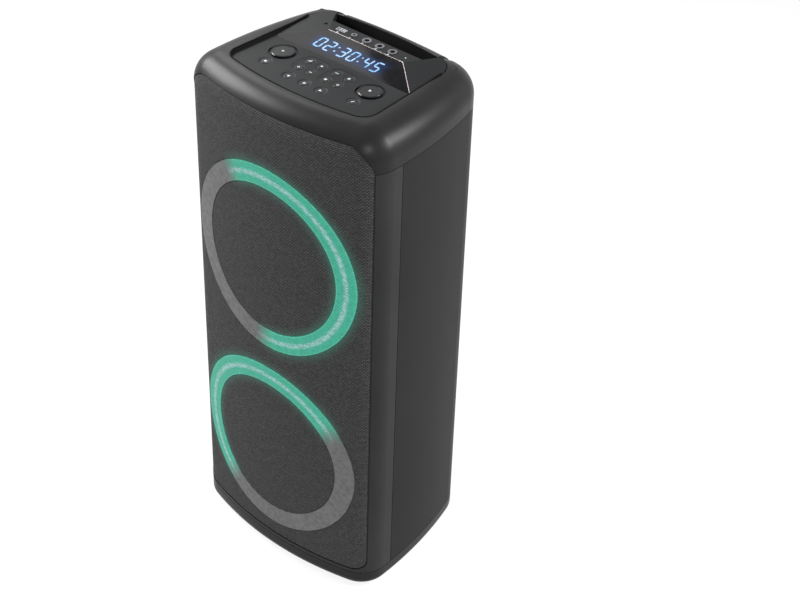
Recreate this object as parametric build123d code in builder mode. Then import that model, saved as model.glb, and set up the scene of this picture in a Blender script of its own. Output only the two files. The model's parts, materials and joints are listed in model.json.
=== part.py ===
from build123d import *
import os
from math import cos, hypot, radians, sin

# Party speaker, millimetres. +Z up, front faces -Y, origin at the centre of the bounding box's base.
# One master form (bowed plan, rounded crown) is split along the seams into cap, shells, grille and plinth.

os.makedirs("parts", exist_ok=True)

# ---- light rings: their radius sets the cabinet's width and height ------------------------------
ring_r = 131.0
ring_band = 26.5
ring_side = 13.5            # cloth between the rings and the grille's sides
ring_brow = 40.0            # upper ring below the cap seam
ring_space = 35.0           # between the two rings
ring_foot = 27.0            # lower ring above the plinth seam
grille_side = 8.0           # front frame between the grille and the cabinet's front corners
rear_taper = 27.0           # each side lies this much further in at the rear
ring_inner_r = ring_r - ring_band
grille_half_width = ring_r + ring_side

# ---- cabinet plan -------------------------------------------------------------------------------
front_half_width = grille_half_width + grille_side      # across the front corners, before rounding
rear_half_width = front_half_width - rear_taper
corner_depth = 217.0        # front corners to rear corners
front_bow = 26.5            # how far the front bulges past its corners
rear_bow = 9.5
side_bow = 10.5
front_corner_r = 40.0
rear_corner_r = 48.0
wall = 3.0                  # moulded wall of cap, shell and plinth

depth = corner_depth + front_bow + rear_bow
front_y = -depth / 2
rear_y = depth / 2
front_corner_y = front_y + front_bow
rear_corner_y = rear_y - rear_bow

# ---- heights ------------------------------------------------------------------------------------
foot_height = 3.0
plinth_height = 23.0
cap_height = 49.0           # cap seam to rim
crown_r = 36.0              # rounding of the cap's rim
plinth_round = 12.0         # rounding of the plinth's lower edge
seam_gap = 0.8              # shadow gap between neighbouring mouldings
deck_drop = 4.0             # control deck below the rim

cabinet_height = ring_brow + 4 * ring_r + ring_space + ring_foot
plinth_top = foot_height + plinth_height
seam_z = plinth_top + cabinet_height
rim_z = seam_z + cap_height
deck_z = rim_z - deck_drop
side_seam_y = -57.0         # vertical seam between front frame and rear shell

# ---- grille and its cloth -----------------------------------------------------------------------
grille_top_drop = 18.0      # grille's top edge below the rim
grille_bottom_rise = 7.0    # grille's lower edge above the plinth
grille_top_r = 34.0
grille_bottom_r = 14.0
grille_gap = 1.2
frame_depth = 7.2           # thickness of the front frame round the grille
rebate = 4.2                # depth of the rebate that holds the grille
landing = 5.0               # width of the rebate's landing behind the grille's edge
cloth_set = 0.5             # cloth behind the ring faces
cloth_t = 0.8
grille_frame_t = 2.6
grille_border = 9.0         # width of the grille frame's border and of the collars round the rings
fit_gap = 0.3               # fitted pieces stand this far apart

grille_top = rim_z - grille_top_drop
grille_bottom = plinth_top + grille_bottom_rise

ring_skirt = 2.0
ring_face_t = 3.0
guard_spokes = 8
guard_spoke_w = 4.0
guard_hub_r = 14.0
guard_rib_r = 56.0
guard_rib_w = 4.0
upper_z = seam_z - ring_brow - ring_r
lower_z = plinth_top + ring_foot + ring_r

# ---- baffle and woofers -------------------------------------------------------------------------
baffle_y = -84.0            # front face of the baffle
baffle_t = 12.0
led_board_t = 1.6
led_size = 5.0
led_height = 1.6
led_count = 24
woofer_inset = 3.5          # basket flange inside the ring's hole, for an 8 inch driver
woofer_land = 11.0          # flange that rests on the baffle
woofer_depth = 88.0
flange_t = 3.0
surround_inset = 8.5        # surround inside the flange
surround_width = 14.5
cone_neck_r = 19.0
cone_depth = 38.0
cone_t = 1.2
dust_cap_r = 32.0
dust_cap_rise = 9.0
magnet_r = 58.0
magnet_t = 26.0
basket_windows = 6
woofer_screws = 8
woofer_screw_inset = 4.7    # screws inside the flange's edge
basket_lip = 6.0            # flange's overlap behind the surround
basket_t = 2.0              # thickness of the pressed basket
basket_floor_t = 6.0        # solid rings left below and above the basket's windows
window_rim = 4.0            # solid metal left round the magnet and the flange
window_bar = 14.0           # width of each bar between two windows
cone_seat = 3.0             # cone's neck stops this far above the magnet
surround_t = 1.0
woofer_r = ring_inner_r - woofer_inset
woofer_hole_r = woofer_r - woofer_land
surround_r = woofer_r - surround_inset
cone_r = surround_r - surround_width
woofer_screw_r = woofer_r - woofer_screw_inset

# ---- control deck -------------------------------------------------------------------------------
deck_front = -87.0          # opening in the cap: bowed front edge, sides, bowed rear edge
deck_front_side = 38.0      # deck inside the cabinet's corners, at the front and at the rear
deck_rear_side = 19.0
deck_front_sag = 13.0
deck_rear = 101.0
deck_rear_sag = 13.0
deck_front_half = front_half_width - deck_front_side
deck_rear_half = rear_half_width - deck_rear_side
deck_front_r = 22.0
deck_rear_r = 32.0
deck_gap = 1.3              # dark gap round the deck
deck_t = 3.0
deck_landing = 6.0          # ledge that carries the deck
wedge_start = 5.5           # lower edge of the display slope
wedge_run = 44.0
wedge_rise = 7.0
strip_half = 59.5           # half width of the raised socket strip at the top of the slope
strip_rear = 70.0           # rear edge of the strip, where the hand recess begins
strip_splay = 14.3          # how far each end of the strip runs outwards ...
strip_splay_run = 23.8      # ... over this depth
flank_margin = 4.7          # slope's lower corners inside the deck's widest line
strip_z = deck_z + wedge_rise
strip_front = wedge_start + wedge_run

button_r = 6.0
button_dish_r = 9.0
button_dish_depth = 1.0
button_proud = 0.8          # button top above the floor of its dish
button_travel = 0.5
button_flange_r = 7.4
button_flange_t = 1.2
button_stem_r = 2.0
button_clearance = 0.3
dial_r = 14.8
dial_well_r = 18.2
dial_well_depth = 1.6
dial_proud = 1.8
dial_shaft_r = 3.0
shaft_clearance = 0.08
dial_edge = 0.9
dial_dish = 0.5             # shallow dish in the dial's top
block_margin = 1.6          # faint oblong recess round each block of four keys, outside the dishes
block_depth = 0.3
block_corner_r = 11.0
dimple_r = 2.4              # small round dimple in the left flank, beside the strip
dimple_at = (-73.0, 59.0)
dimple_floor = 1.8          # its floor below the strip
button_edge = 0.3
board_drop = 12.0           # control board below the deck
board_t = 1.6
switch_size = 6.0
switch_height = 3.5
encoder_size = 12.0
encoder_height = 6.0
post_r = 3.0
post_columns = 88.0         # outer columns of the control board's posts
post_front = -62.0
post_back = -4.0
window_border = 1.2
window_t = 1.6
window_bed = 0.2            # adhesive under the window
digits_rise = 19.5          # middle of the digits, up the slope
digits_size = (120.0, 25.0)

dial_x = 69.5
dial_y = -19.5
side_button_y = -49.5
pair_x = (12.0, 31.2)       # columns of the two blocks of four
pair_y = (-13.5, -33.0)
row_x = 25.5
row_y = -56.5

# ---- sockets, handle ----------------------------------------------------------------------------
socket_y = 59.7
socket_pitch = 20.4
socket_first_x = -47.4
usb_slot = (12.5, 5.0)
usb_shell = (14.5, 7.0)
usb_depth = 13.0
aux_bore_r = 1.8
aux_nut_r = 4.0
jack_bore_r = 3.25
jack_nut_r = 6.0
jack_depth = 22.0
socket_floor = 1.0          # floor thickness of every socket
nut_proud = 0.8
usb_tongue = (11.0, 1.8)
usb_tongue_shift = 1.1
pin_r = 3.0
pin_grip = 10.0             # length of each handle pin on either side of the joint
pin_y = rear_y - 19.5
pin_z = rim_z - 17.0
cheek = 14.0                # solid ends of the cap beside the handle
handle_half = 76.0
handle_height = 26.0
handle_end_gap = 0.8
handle_round = 1.5
recess_depth = 58.0         # floor of the hand recess below the rim
recess_wall = 2.5

# ---- rear, inside -------------------------------------------------------------------------------
plate_size = (120.0, 66.0)
plate_t = 2.5
plate_z = 96.0
plate_y = 118.0             # inner face of the connection plate
plate_rim = 7.0             # landing that carries the plate
inlet_x = 26.0
rocker_x = -28.0
rocker_size = (13.0, 19.0)
rocker_tilt = 8.0
rocker_pivot_set = 3.0      # pivot behind the plate's outer face
rocker_pin_r = 1.5
rocker_pin = 0.8            # how far the rocker's pins reach into the switch walls
rocker_gap = 0.4
rocker_face = 2.8           # rocker's profile about its pivot: middle of the face ...
rocker_tip = 4.8            # ... its two tips ...
rocker_tip_in = 0.7
rocker_back = 2.4           # ... its back edges ...
rocker_back_in = 1.1
rocker_keel = 4.4           # ... and the keel behind the pivot
switch_wall = 1.5
switch_depth = 14.0
bezel_t = 1.4
bezel_rim = 1.6
inlet_face = (34.0, 20.0)
inlet_body = (26.0, 15.0)
inlet_slot = (17.0, 8.6)
inlet_body_depth = 18.0
inlet_slot_depth = 13.0
inlet_pin_r = 1.2
inlet_pin_pitch = 8.6
plate_corner_r = 3.0
port_rim_r = 45.0
port_flange_r = 52.0
port_flange_t = 2.5
port_seat_y = 121.4         # outer face of the port's flange, against the shell's inner wall
amp_size = (130.0, 86.0)
amp_y = 108.0
amp_post_in = 8.0           # posts' distance from the board's edges
amp_z = 196.0
heatsink_size = (70.0, 40.0)
heatsink_fins = 7
supply_size = (95.0, 70.0, 42.0)
battery_size = (88.0, 66.0, 40.0)
inside_x = 62.0
inside_y = 20.0
port_z = 300.0
port_r = 34.0
port_wall = 2.5
port_flare = 9.0
port_proud = 1.0            # rim of the port beyond the flange's thickness
port_length = 118.0
foot_r = 15.0
foot_front_x = 100.0
foot_rear_x = 84.0
foot_front_y = -78.0
foot_rear_y = 84.0
foot_socket = 2.0
lip_height = 6.0            # plinth's lip inside the rear shell
screw_head_r = 3.4
screw_head_t = 2.2
screw_shank_r = 1.9


def save(part, name):
    """Label a finished piece and write it as its own STEP file."""
    part.label = name
    export_step(part, f"parts/{name}.step")


def bow_radius(half_chord, bow):
    """Radius of an arc from its half chord and its bow."""
    return (half_chord**2 + bow**2) / (2 * bow)


def cabinet_plan(inset):
    """Cabinet outline seen from above, shrunk by `inset`: four bowed sides, each an arc of its own
    circle, and four rounded corners."""
    front_arc_r = bow_radius(front_half_width, front_bow)
    rear_arc_r = bow_radius(rear_half_width, rear_bow)
    taper = front_half_width - rear_half_width
    side_chord = hypot(corner_depth, taper)
    side_arc_r = bow_radius(side_chord / 2, side_bow)
    side_x = (front_half_width + rear_half_width) / 2 - (side_arc_r - side_bow) * corner_depth / side_chord
    side_y = (front_corner_y + rear_corner_y) / 2 - (side_arc_r - side_bow) * taper / side_chord
    with BuildSketch() as plan:
        with Locations((0, front_y + front_arc_r)):
            Circle(front_arc_r - inset)
        with Locations((0, rear_y - rear_arc_r)):
            Circle(rear_arc_r - inset, mode=Mode.INTERSECT)
        with Locations((side_x, side_y)):
            Circle(side_arc_r - inset, mode=Mode.INTERSECT)
        with Locations((-side_x, side_y)):
            Circle(side_arc_r - inset, mode=Mode.INTERSECT)
        fillet(plan.vertices().group_by(Axis.Y)[-1], rear_corner_r - inset)
        fillet(plan.vertices().group_by(Axis.Y)[0], front_corner_r - inset)
    return plan.sketch


def master_form(inset, low):
    """The cabinet's outer form from height `low` to the crown, shrunk by `inset`."""
    with BuildPart() as form:
        with BuildSketch(Plane.XY.offset(low)):
            add(cabinet_plan(inset))
        extrude(amount=rim_z - inset - low)
        fillet(form.edges().group_by(Axis.Z)[-1], crown_r - inset)
    return form.part


def grille_prism(grow):
    """Everything in front of the baffle that lies within the grille's outline, grown by `grow`."""
    with BuildPart() as prism:
        with BuildSketch(Plane.XZ.offset(-side_seam_y)) as face:
            with Locations((0, (grille_top + grille_bottom) / 2)):
                Rectangle(2 * (grille_half_width + grow), grille_top - grille_bottom + 2 * grow)
            fillet(face.vertices().group_by(Axis.Y)[-1], grille_top_r + grow)
            fillet(face.vertices().group_by(Axis.Y)[0], grille_bottom_r + grow)
        extrude(amount=depth)
    return prism.part


def ring_prism(centre_z, inner_r, outer_r, back_y):
    """Annulus (or disc, when inner_r is 0) extruded forwards from back_y past the front."""
    with BuildPart() as prism:
        with BuildSketch(Plane.XZ.offset(-back_y)):
            with Locations((0, centre_z)):
                Circle(outer_r)
                if inner_r:
                    Circle(inner_r, mode=Mode.SUBTRACT)
        extrude(amount=depth)
    return prism.part


def deck_plan(inset):
    """Outline of the opening for the control deck and the hand recess, shrunk by `inset`."""
    front_arc_r = bow_radius(deck_front_half, deck_front_sag)
    rear_arc_r = bow_radius(deck_rear_half, deck_rear_sag)
    side_run = deck_rear - deck_rear_sag - deck_front - deck_front_sag
    taper = (deck_front_half - deck_rear_half) / side_run
    side_inset = inset * hypot(1, taper)
    front_half = deck_front_half + taper * deck_front_sag - side_inset
    rear_half = deck_rear_half - taper * deck_rear_sag - side_inset
    with BuildSketch() as plan:
        with BuildLine():
            Polyline(
                (-front_half, deck_front),
                (front_half, deck_front),
                (rear_half, deck_rear),
                (-rear_half, deck_rear),
                close=True,
            )
        make_face()
        with Locations((0, deck_front + front_arc_r)):
            Circle(front_arc_r - inset, mode=Mode.INTERSECT)
        with Locations((0, deck_rear - rear_arc_r)):
            Circle(rear_arc_r - inset, mode=Mode.INTERSECT)
        fillet(plan.vertices().group_by(Axis.Y)[-1], deck_rear_r - inset)
        fillet(plan.vertices().group_by(Axis.Y)[0], deck_front_r - inset)
    return plan.sketch


def strip_end(y):
    """Half width of the raised strip at depth y: its ends splay outwards to the rear."""
    return strip_half + (y - strip_front) * strip_splay / strip_splay_run


def hand_opening(grow, low, high):
    """The hand recess in plan, between strip and handle, grown by `grow`, from low to high."""
    front = strip_rear - grow
    back = deck_rear - deck_rear_sag / 2
    with BuildPart() as opening:
        with BuildSketch(Plane.XY.offset(low)):
            with BuildLine():
                Polyline(
                    (-strip_end(front) - grow, front),
                    (strip_end(front) + grow, front),
                    (strip_end(back) + grow, back),
                    (strip_end(back) + grow, rear_y),
                    (-strip_end(back) - grow, rear_y),
                    (-strip_end(back) - grow, back),
                    close=True,
                )
            make_face()
            add(cabinet_plan(2 * wall + fit_gap + recess_wall - grow), mode=Mode.INTERSECT)
        extrude(amount=high - low)
    return opening.part


def front_skin(outer_inset, inner_inset):
    """Bowed skin that follows the master form in front of the side seam, between two insets."""
    with BuildPart() as skin:
        add(master_form(outer_inset, foot_height))
        add(master_form(inner_inset, foot_height - wall), mode=Mode.SUBTRACT)
        split(bisect_by=Plane.XZ.offset(-side_seam_y), keep=Keep.TOP)
    return skin.part


def rebate_form():
    """The recess round the grille: all within the grille's outline and outside the rebate's floor."""
    with BuildPart() as recess:
        add(grille_prism(grille_gap))
        add(master_form(rebate, foot_height), mode=Mode.SUBTRACT)
    return recess.part


def dust_dome(centre_z, top_y):
    """Domed dust cap that closes the middle of a cone."""
    dome_r = bow_radius(dust_cap_r, dust_cap_rise)
    with BuildPart() as dome:
        with Locations((0, top_y + dome_r, centre_z)):
            Sphere(dome_r)
            Sphere(dome_r - cone_t, mode=Mode.SUBTRACT)
        split(bisect_by=Plane.XZ.offset(-top_y - dust_cap_rise), keep=Keep.TOP)
    return dome.part


def handle_cheeks():
    """Solid ends of the rear rim on both sides of the handle, drilled for the handle's pins."""
    inner_x = handle_half + handle_end_gap
    with BuildPart() as cheeks:
        add(master_form(wall / 2, seam_z))
        with BuildSketch(Plane.XY.offset(handle_z)):
            with Locations((inner_x + cheek / 2, deck_rear), (-inner_x - cheek / 2, deck_rear)):
                Rectangle(cheek, 2 * (rear_y - deck_rear))
            add(deck_plan(-wall / 2), mode=Mode.SUBTRACT)
        extrude(amount=handle_height, mode=Mode.INTERSECT)
        with BuildSketch(Plane.YZ):
            with Locations((pin_y, pin_z)):
                Circle(pin_r)
        extrude(amount=handle_half + pin_grip, both=True, mode=Mode.SUBTRACT)
    return cheeks.part


post_x = amp_size[0] / 2 - amp_post_in
post_rise = amp_size[1] / 2 - amp_post_in
amp_posts = [(x, z) for x in (-post_x, post_x) for z in (amp_z - post_rise, amp_z + post_rise)]
plate_screw_grid = (plate_size[0] - plate_rim, plate_size[1] - plate_rim)
plate_outer_y = plate_y + plate_t
foot_places = [
    (-foot_front_x, foot_front_y),
    (foot_front_x, foot_front_y),
    (-foot_rear_x, foot_rear_y),
    (foot_rear_x, foot_rear_y),
]

# ==== enclosure ==================================================================================

with BuildPart() as base_plinth:
    with BuildSketch(Plane.XY.offset(foot_height)):
        add(cabinet_plan(0))
    extrude(amount=plinth_height)
    fillet(base_plinth.edges().group_by(Axis.Z)[0], plinth_round)
    with BuildSketch(Plane.XY.offset(foot_height + wall)):
        add(cabinet_plan(wall + plinth_round / 2))
    extrude(amount=plinth_height, mode=Mode.SUBTRACT)
    with BuildSketch(Plane.XY.offset(plinth_top - wall)):
        add(cabinet_plan(wall + fit_gap))
        add(cabinet_plan(2 * wall), mode=Mode.SUBTRACT)
        with Locations((0, side_seam_y + fit_gap)):
            Rectangle(2 * front_half_width, depth, align=(Align.CENTER, Align.MIN), mode=Mode.INTERSECT)
    extrude(amount=wall + lip_height)
    with BuildSketch(Plane.XY.offset(foot_height)):
        with Locations(*foot_places):
            Circle(foot_r)
    extrude(amount=foot_socket, mode=Mode.SUBTRACT)
save(base_plinth.part, "base_plinth")

handle_z = rim_z - handle_height
shelf_z = handle_z - handle_end_gap

with BuildPart() as top_cap:
    add(master_form(0, seam_z))
    add(master_form(wall, seam_z - wall), mode=Mode.SUBTRACT)
    with BuildSketch(Plane.XY.offset(deck_z - deck_t - wall)):
        add(deck_plan(-wall))
    extrude(amount=deck_t + wall + deck_drop - wall / 2)
    add(grille_prism(grille_gap), mode=Mode.SUBTRACT)
    with BuildSketch(Plane.XY.offset(deck_z - deck_t)):
        add(deck_plan(0))
    extrude(amount=crown_r, mode=Mode.SUBTRACT)
    with BuildSketch(Plane.XY.offset(seam_z)):
        add(deck_plan(deck_landing))
    extrude(amount=cap_height, mode=Mode.SUBTRACT)
    add(hand_opening(recess_wall + fit_gap, seam_z, rim_z), mode=Mode.SUBTRACT)
    with BuildSketch(Plane.XY.offset(shelf_z)):
        with Locations((0, rear_y)):
            Rectangle(2 * handle_half + 2 * handle_end_gap, 2 * (rear_y - deck_rear + deck_rear_sag))
    extrude(amount=crown_r + handle_height, mode=Mode.SUBTRACT)
    add(handle_cheeks())
save(top_cap.part, "top_cap")

with BuildPart() as handle_bar:
    add(master_form(0, seam_z))
    with BuildSketch(Plane.XY.offset(seam_z - wall)):
        add(deck_plan(0))
    extrude(amount=cap_height + 2 * wall, mode=Mode.SUBTRACT)
    with BuildSketch(Plane.XY.offset(handle_z)):
        with Locations((0, rear_y)):
            Rectangle(2 * handle_half, 2 * (rear_y - deck_rear + deck_rear_sag))
    extrude(amount=handle_height + wall, mode=Mode.INTERSECT)
    fillet(handle_bar.edges().sort_by(Axis.Z)[-1], handle_round)
    with BuildSketch(Plane.YZ.offset(-handle_half)):
        with Locations((pin_y, pin_z)):
            Circle(pin_r)
    extrude(amount=pin_grip, mode=Mode.SUBTRACT)
    with BuildSketch(Plane.YZ.offset(handle_half)):
        with Locations((pin_y, pin_z)):
            Circle(pin_r)
    extrude(amount=-pin_grip, mode=Mode.SUBTRACT)
save(handle_bar.part, "handle_bar")

with BuildPart() as rear_shell:
    with BuildSketch(Plane.XY.offset(plinth_top + seam_gap)):
        add(cabinet_plan(0))
        add(cabinet_plan(wall), mode=Mode.SUBTRACT)
    extrude(amount=cabinet_height - 2 * seam_gap)
    split(bisect_by=Plane.XZ.offset(-side_seam_y - seam_gap), keep=Keep.BOTTOM)
    with BuildSketch(Plane.XY.offset(plate_z - plate_size[1] / 2 - wall)):
        add(cabinet_plan(wall / 2))
        with Locations((0, plate_y - wall)):
            Rectangle(plate_size[0] + 2 * wall, depth, align=(Align.CENTER, Align.MIN), mode=Mode.INTERSECT)
    extrude(amount=plate_size[1] + 2 * wall)
    with BuildSketch(Plane.XZ.offset(-plate_y)):
        with Locations((0, plate_z)):
            RectangleRounded(*plate_size, plate_corner_r)
    extrude(amount=-depth, mode=Mode.SUBTRACT)
    with BuildSketch(Plane.XZ.offset(-plate_y)):
        with Locations((0, plate_z)):
            Rectangle(plate_size[0] - 2 * plate_rim, plate_size[1] - 2 * plate_rim)
            with GridLocations(*plate_screw_grid, 2, 2):
                Circle(screw_shank_r)
    extrude(amount=2 * wall, mode=Mode.SUBTRACT)
    with BuildSketch(Plane.XZ.offset(-plate_y)):
        with Locations((0, port_z)):
            Circle(port_rim_r + fit_gap)
    extrude(amount=-depth, mode=Mode.SUBTRACT)
    with BuildSketch(Plane.XZ.offset(-amp_y)):
        with Locations(*amp_posts):
            Circle(post_r)
    extrude(amount=-(rear_y - amp_y - wall))
save(rear_shell.part, "rear_shell")

with BuildPart() as front_frame:
    with BuildSketch(Plane.XY.offset(plinth_top + seam_gap)):
        add(cabinet_plan(0))
    extrude(amount=cabinet_height - 2 * seam_gap)
    add(master_form(wall + fit_gap, seam_z - wall))
    add(master_form(frame_depth, foot_height), mode=Mode.SUBTRACT)
    split(bisect_by=Plane.XZ.offset(-side_seam_y), keep=Keep.TOP)
    split(bisect_by=Plane.XY.offset(grille_top + landing), keep=Keep.BOTTOM)
    add(rebate_form(), mode=Mode.SUBTRACT)
    add(grille_prism(-landing), mode=Mode.SUBTRACT)
save(front_frame.part, "front_frame")

# ==== grille, light rings ========================================================================

frame_back = cloth_set + cloth_t + grille_frame_t

with BuildPart() as frame_window:
    add(grille_prism(-grille_border))
    for centre_z in (upper_z, lower_z):
        add(ring_prism(centre_z, 0, ring_r + fit_gap + grille_border, side_seam_y), mode=Mode.SUBTRACT)

with BuildPart() as grille_frame:
    add(front_skin(cloth_set + cloth_t, frame_back))
    add(grille_prism(0), mode=Mode.INTERSECT)
    add(frame_window, mode=Mode.SUBTRACT)
    for centre_z in (upper_z, lower_z):
        add(ring_prism(centre_z, 0, ring_r + fit_gap, side_seam_y), mode=Mode.SUBTRACT)
save(grille_frame.part, "grille_frame")

with BuildPart() as grille_cloth:
    add(front_skin(cloth_set, cloth_set + cloth_t))
    add(grille_prism(0), mode=Mode.INTERSECT)
    for centre_z in (upper_z, lower_z):
        add(ring_prism(centre_z, 0, ring_r + fit_gap, side_seam_y), mode=Mode.SUBTRACT)
save(grille_cloth.part, "grille_cloth")

board_front = baffle_y - led_board_t

for side, centre_z in (("upper", upper_z), ("lower", lower_z)):
    guard_r = ring_inner_r - fit_gap

    with BuildPart() as channel:
        add(ring_prism(centre_z, ring_inner_r + ring_skirt, ring_r - ring_skirt, board_front))
        add(master_form(ring_face_t, foot_height), mode=Mode.INTERSECT)

    with BuildPart() as light_ring:
        add(ring_prism(centre_z, ring_inner_r, ring_r, board_front))
        add(master_form(0, foot_height), mode=Mode.INTERSECT)
        add(channel, mode=Mode.SUBTRACT)
    save(light_ring.part, f"light_ring_{side}")

    with BuildPart() as led_board:
        with BuildSketch(Plane.XZ.offset(-baffle_y)):
            with Locations((0, centre_z)):
                Circle(ring_r)
                Circle(ring_inner_r, mode=Mode.SUBTRACT)
        extrude(amount=led_board_t)
        with BuildSketch(Plane.XZ.offset(-board_front)):
            with Locations((0, centre_z)):
                with PolarLocations((ring_r + ring_inner_r) / 2, led_count):
                    Rectangle(led_size, led_size)
        extrude(amount=led_height)
    save(led_board.part, f"led_board_{side}")

    with BuildPart() as cloth_disc:
        add(front_skin(cloth_set, cloth_set + cloth_t))
        add(ring_prism(centre_z, 0, guard_r, side_seam_y), mode=Mode.INTERSECT)
    save(cloth_disc.part, f"cloth_disc_{side}")

    with BuildPart() as guard:
        with BuildSketch(Plane.XZ.offset(-side_seam_y)):
            with Locations((0, centre_z)):
                Circle(guard_r)
                Circle(guard_r - grille_border, mode=Mode.SUBTRACT)
                Circle(guard_rib_r + guard_rib_w / 2)
                Circle(guard_rib_r - guard_rib_w / 2, mode=Mode.SUBTRACT)
                with PolarLocations((guard_r - grille_border) / 2, guard_spokes):
                    Rectangle(guard_r - grille_border / 2, guard_spoke_w)
                Circle(guard_hub_r)
        extrude(amount=depth)
        add(front_skin(cloth_set + cloth_t, frame_back), mode=Mode.INTERSECT)
    save(guard.part, f"woofer_guard_{side}")

# ==== baffle and woofers =========================================================================

with BuildPart() as front_baffle:
    with BuildSketch(Plane.XY.offset(plinth_top + seam_gap)):
        add(cabinet_plan(frame_depth + fit_gap))
        with Locations((0, baffle_y + baffle_t / 2)):
            Rectangle(2 * front_half_width, baffle_t, mode=Mode.INTERSECT)
    extrude(amount=cabinet_height - 2 * seam_gap)
    with BuildSketch(Plane.XZ.offset(-baffle_y)):
        with Locations((0, upper_z), (0, lower_z)):
            Circle(woofer_hole_r)
            with PolarLocations(woofer_screw_r, woofer_screws):
                Circle(screw_shank_r)
    extrude(amount=-baffle_t, mode=Mode.SUBTRACT)
save(front_baffle.part, "front_baffle")

for side, centre_z in (("upper", upper_z), ("lower", lower_z)):
    axis = Axis((0, 0, centre_z), (0, 1, 0))
    flange_y = baffle_y - flange_t
    back_y = baffle_y + woofer_depth - magnet_t

    with BuildPart() as basket:
        with BuildSketch(Plane.XY.offset(centre_z)):
            with BuildLine():
                Polyline(
                    (surround_r - basket_lip, flange_y),
                    (woofer_r, flange_y),
                    (woofer_r, baffle_y),
                    (woofer_hole_r - surround_t, baffle_y),
                    (magnet_r, back_y),
                    (cone_neck_r + basket_t, back_y),
                    (cone_neck_r + basket_t, back_y - basket_t),
                    (magnet_r - basket_t, back_y - basket_t),
                    (woofer_hole_r - basket_lip, flange_y + basket_t),
                    (surround_r - basket_lip, flange_y + flange_t / 2),
                    close=True,
                )
            make_face()
        revolve(axis=axis)
        with BuildSketch(Plane.XZ.offset(-back_y + basket_floor_t)):
            with Locations((0, centre_z)):
                Circle(woofer_hole_r - 2 * window_rim)
                Circle(magnet_r + window_rim, mode=Mode.SUBTRACT)
                with PolarLocations((magnet_r + woofer_hole_r) / 2, basket_windows):
                    Rectangle(woofer_hole_r - magnet_r, window_bar, mode=Mode.SUBTRACT)
        extrude(amount=woofer_depth - magnet_t - 2 * basket_floor_t, mode=Mode.SUBTRACT)
        with BuildSketch(Plane.XZ.offset(-flange_y)):
            with Locations((0, centre_z)):
                with PolarLocations(woofer_screw_r, woofer_screws):
                    Circle(screw_shank_r + fit_gap)
        extrude(amount=-flange_t, mode=Mode.SUBTRACT)
    save(basket.part, f"woofer_basket_{side}")

    with BuildPart() as magnet:
        with BuildSketch(Plane.XZ.offset(-back_y)):
            with Locations((0, centre_z)):
                Circle(magnet_r)
        extrude(amount=-magnet_t)
        fillet(magnet.edges().filter_by(GeomType.CIRCLE), 2)
    save(magnet.part, f"woofer_magnet_{side}")

    with BuildPart() as cone:
        with BuildSketch(Plane.XY.offset(centre_z)):
            with BuildLine():
                Polyline(
                    (cone_r, flange_y),
                    (cone_neck_r, flange_y + cone_depth),
                    (cone_neck_r, back_y - cone_seat),
                    (cone_neck_r - cone_t, back_y - cone_seat),
                    (cone_neck_r - cone_t, flange_y + cone_depth - cone_t),
                    (cone_r - 2 * cone_t, flange_y),
                    close=True,
                )
            make_face()
        revolve(axis=axis)
        cone_slope = cone_depth / (cone_r - cone_neck_r)
        add(dust_dome(centre_z, flange_y + cone_slope * (cone_r - dust_cap_r) - dust_cap_rise + cone_t / 2))
    save(cone.part, f"woofer_cone_{side}")

    with BuildPart() as surround:
        roll_r = (surround_r - cone_r) / 2
        roll_middle = (surround_r + cone_r) / 2
        with BuildSketch(Plane.XY.offset(centre_z)):
            with Locations((roll_middle, flange_y - surround_t)):
                Circle(roll_r)
                Circle(roll_r - surround_t, mode=Mode.SUBTRACT)
                with Locations((0, roll_r + surround_t)):
                    Rectangle(3 * roll_r, 2 * (roll_r + surround_t), mode=Mode.SUBTRACT)
            with Locations((roll_middle, flange_y - surround_t / 2)):
                Rectangle(2 * roll_r, surround_t)
                Rectangle(2 * (roll_r - surround_t), surround_t, mode=Mode.SUBTRACT)
        revolve(axis=axis)
    save(surround.part, f"woofer_surround_{side}")


with BuildPart() as woofer_screw_group:
    for centre_z in (upper_z, lower_z):
        with BuildSketch(Plane.XZ.offset(-baffle_y + flange_t)):
            with Locations((0, centre_z)):
                with PolarLocations(woofer_screw_r, woofer_screws):
                    Circle(screw_head_r)
        extrude(amount=screw_head_t)
        with BuildSketch(Plane.XZ.offset(-baffle_y + flange_t)):
            with Locations((0, centre_z)):
                with PolarLocations(woofer_screw_r, woofer_screws):
                    Circle(screw_shank_r)
        extrude(amount=-flange_t - baffle_t)
save(woofer_screw_group.part, "woofer_screws")

# ==== control deck ===============================================================================

slope_length = hypot(wedge_run, wedge_rise)
slope_plane = Plane((0, wedge_start, deck_z), x_dir=(1, 0, 0), z_dir=(0, -wedge_rise, wedge_run))
flank_start = deck_front_half - deck_gap - flank_margin
bevel_fall = (flank_start - strip_half) / slope_length


def flank_cutter():
    """Everything above the two flanks that fall from the slope and the strip to the deck's sides."""
    foot = Vector(flank_start, wedge_start, deck_z)
    corner = Vector(strip_half, strip_front, strip_z)
    far = Vector(strip_half + strip_splay, strip_front + strip_splay_run, strip_z)
    along = far - corner
    up = along.cross(foot - corner)
    if up.Z < 0:
        up = -up
    with BuildPart(Plane(corner, x_dir=along, z_dir=up)) as cutter:
        Box(2 * depth, 2 * depth, crown_r, align=(Align.CENTER, Align.CENTER, Align.MIN))
        split(bisect_by=Plane.XZ.offset(-wedge_start), keep=Keep.BOTTOM)
        mirror(about=Plane.YZ)
    return cutter.part


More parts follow.
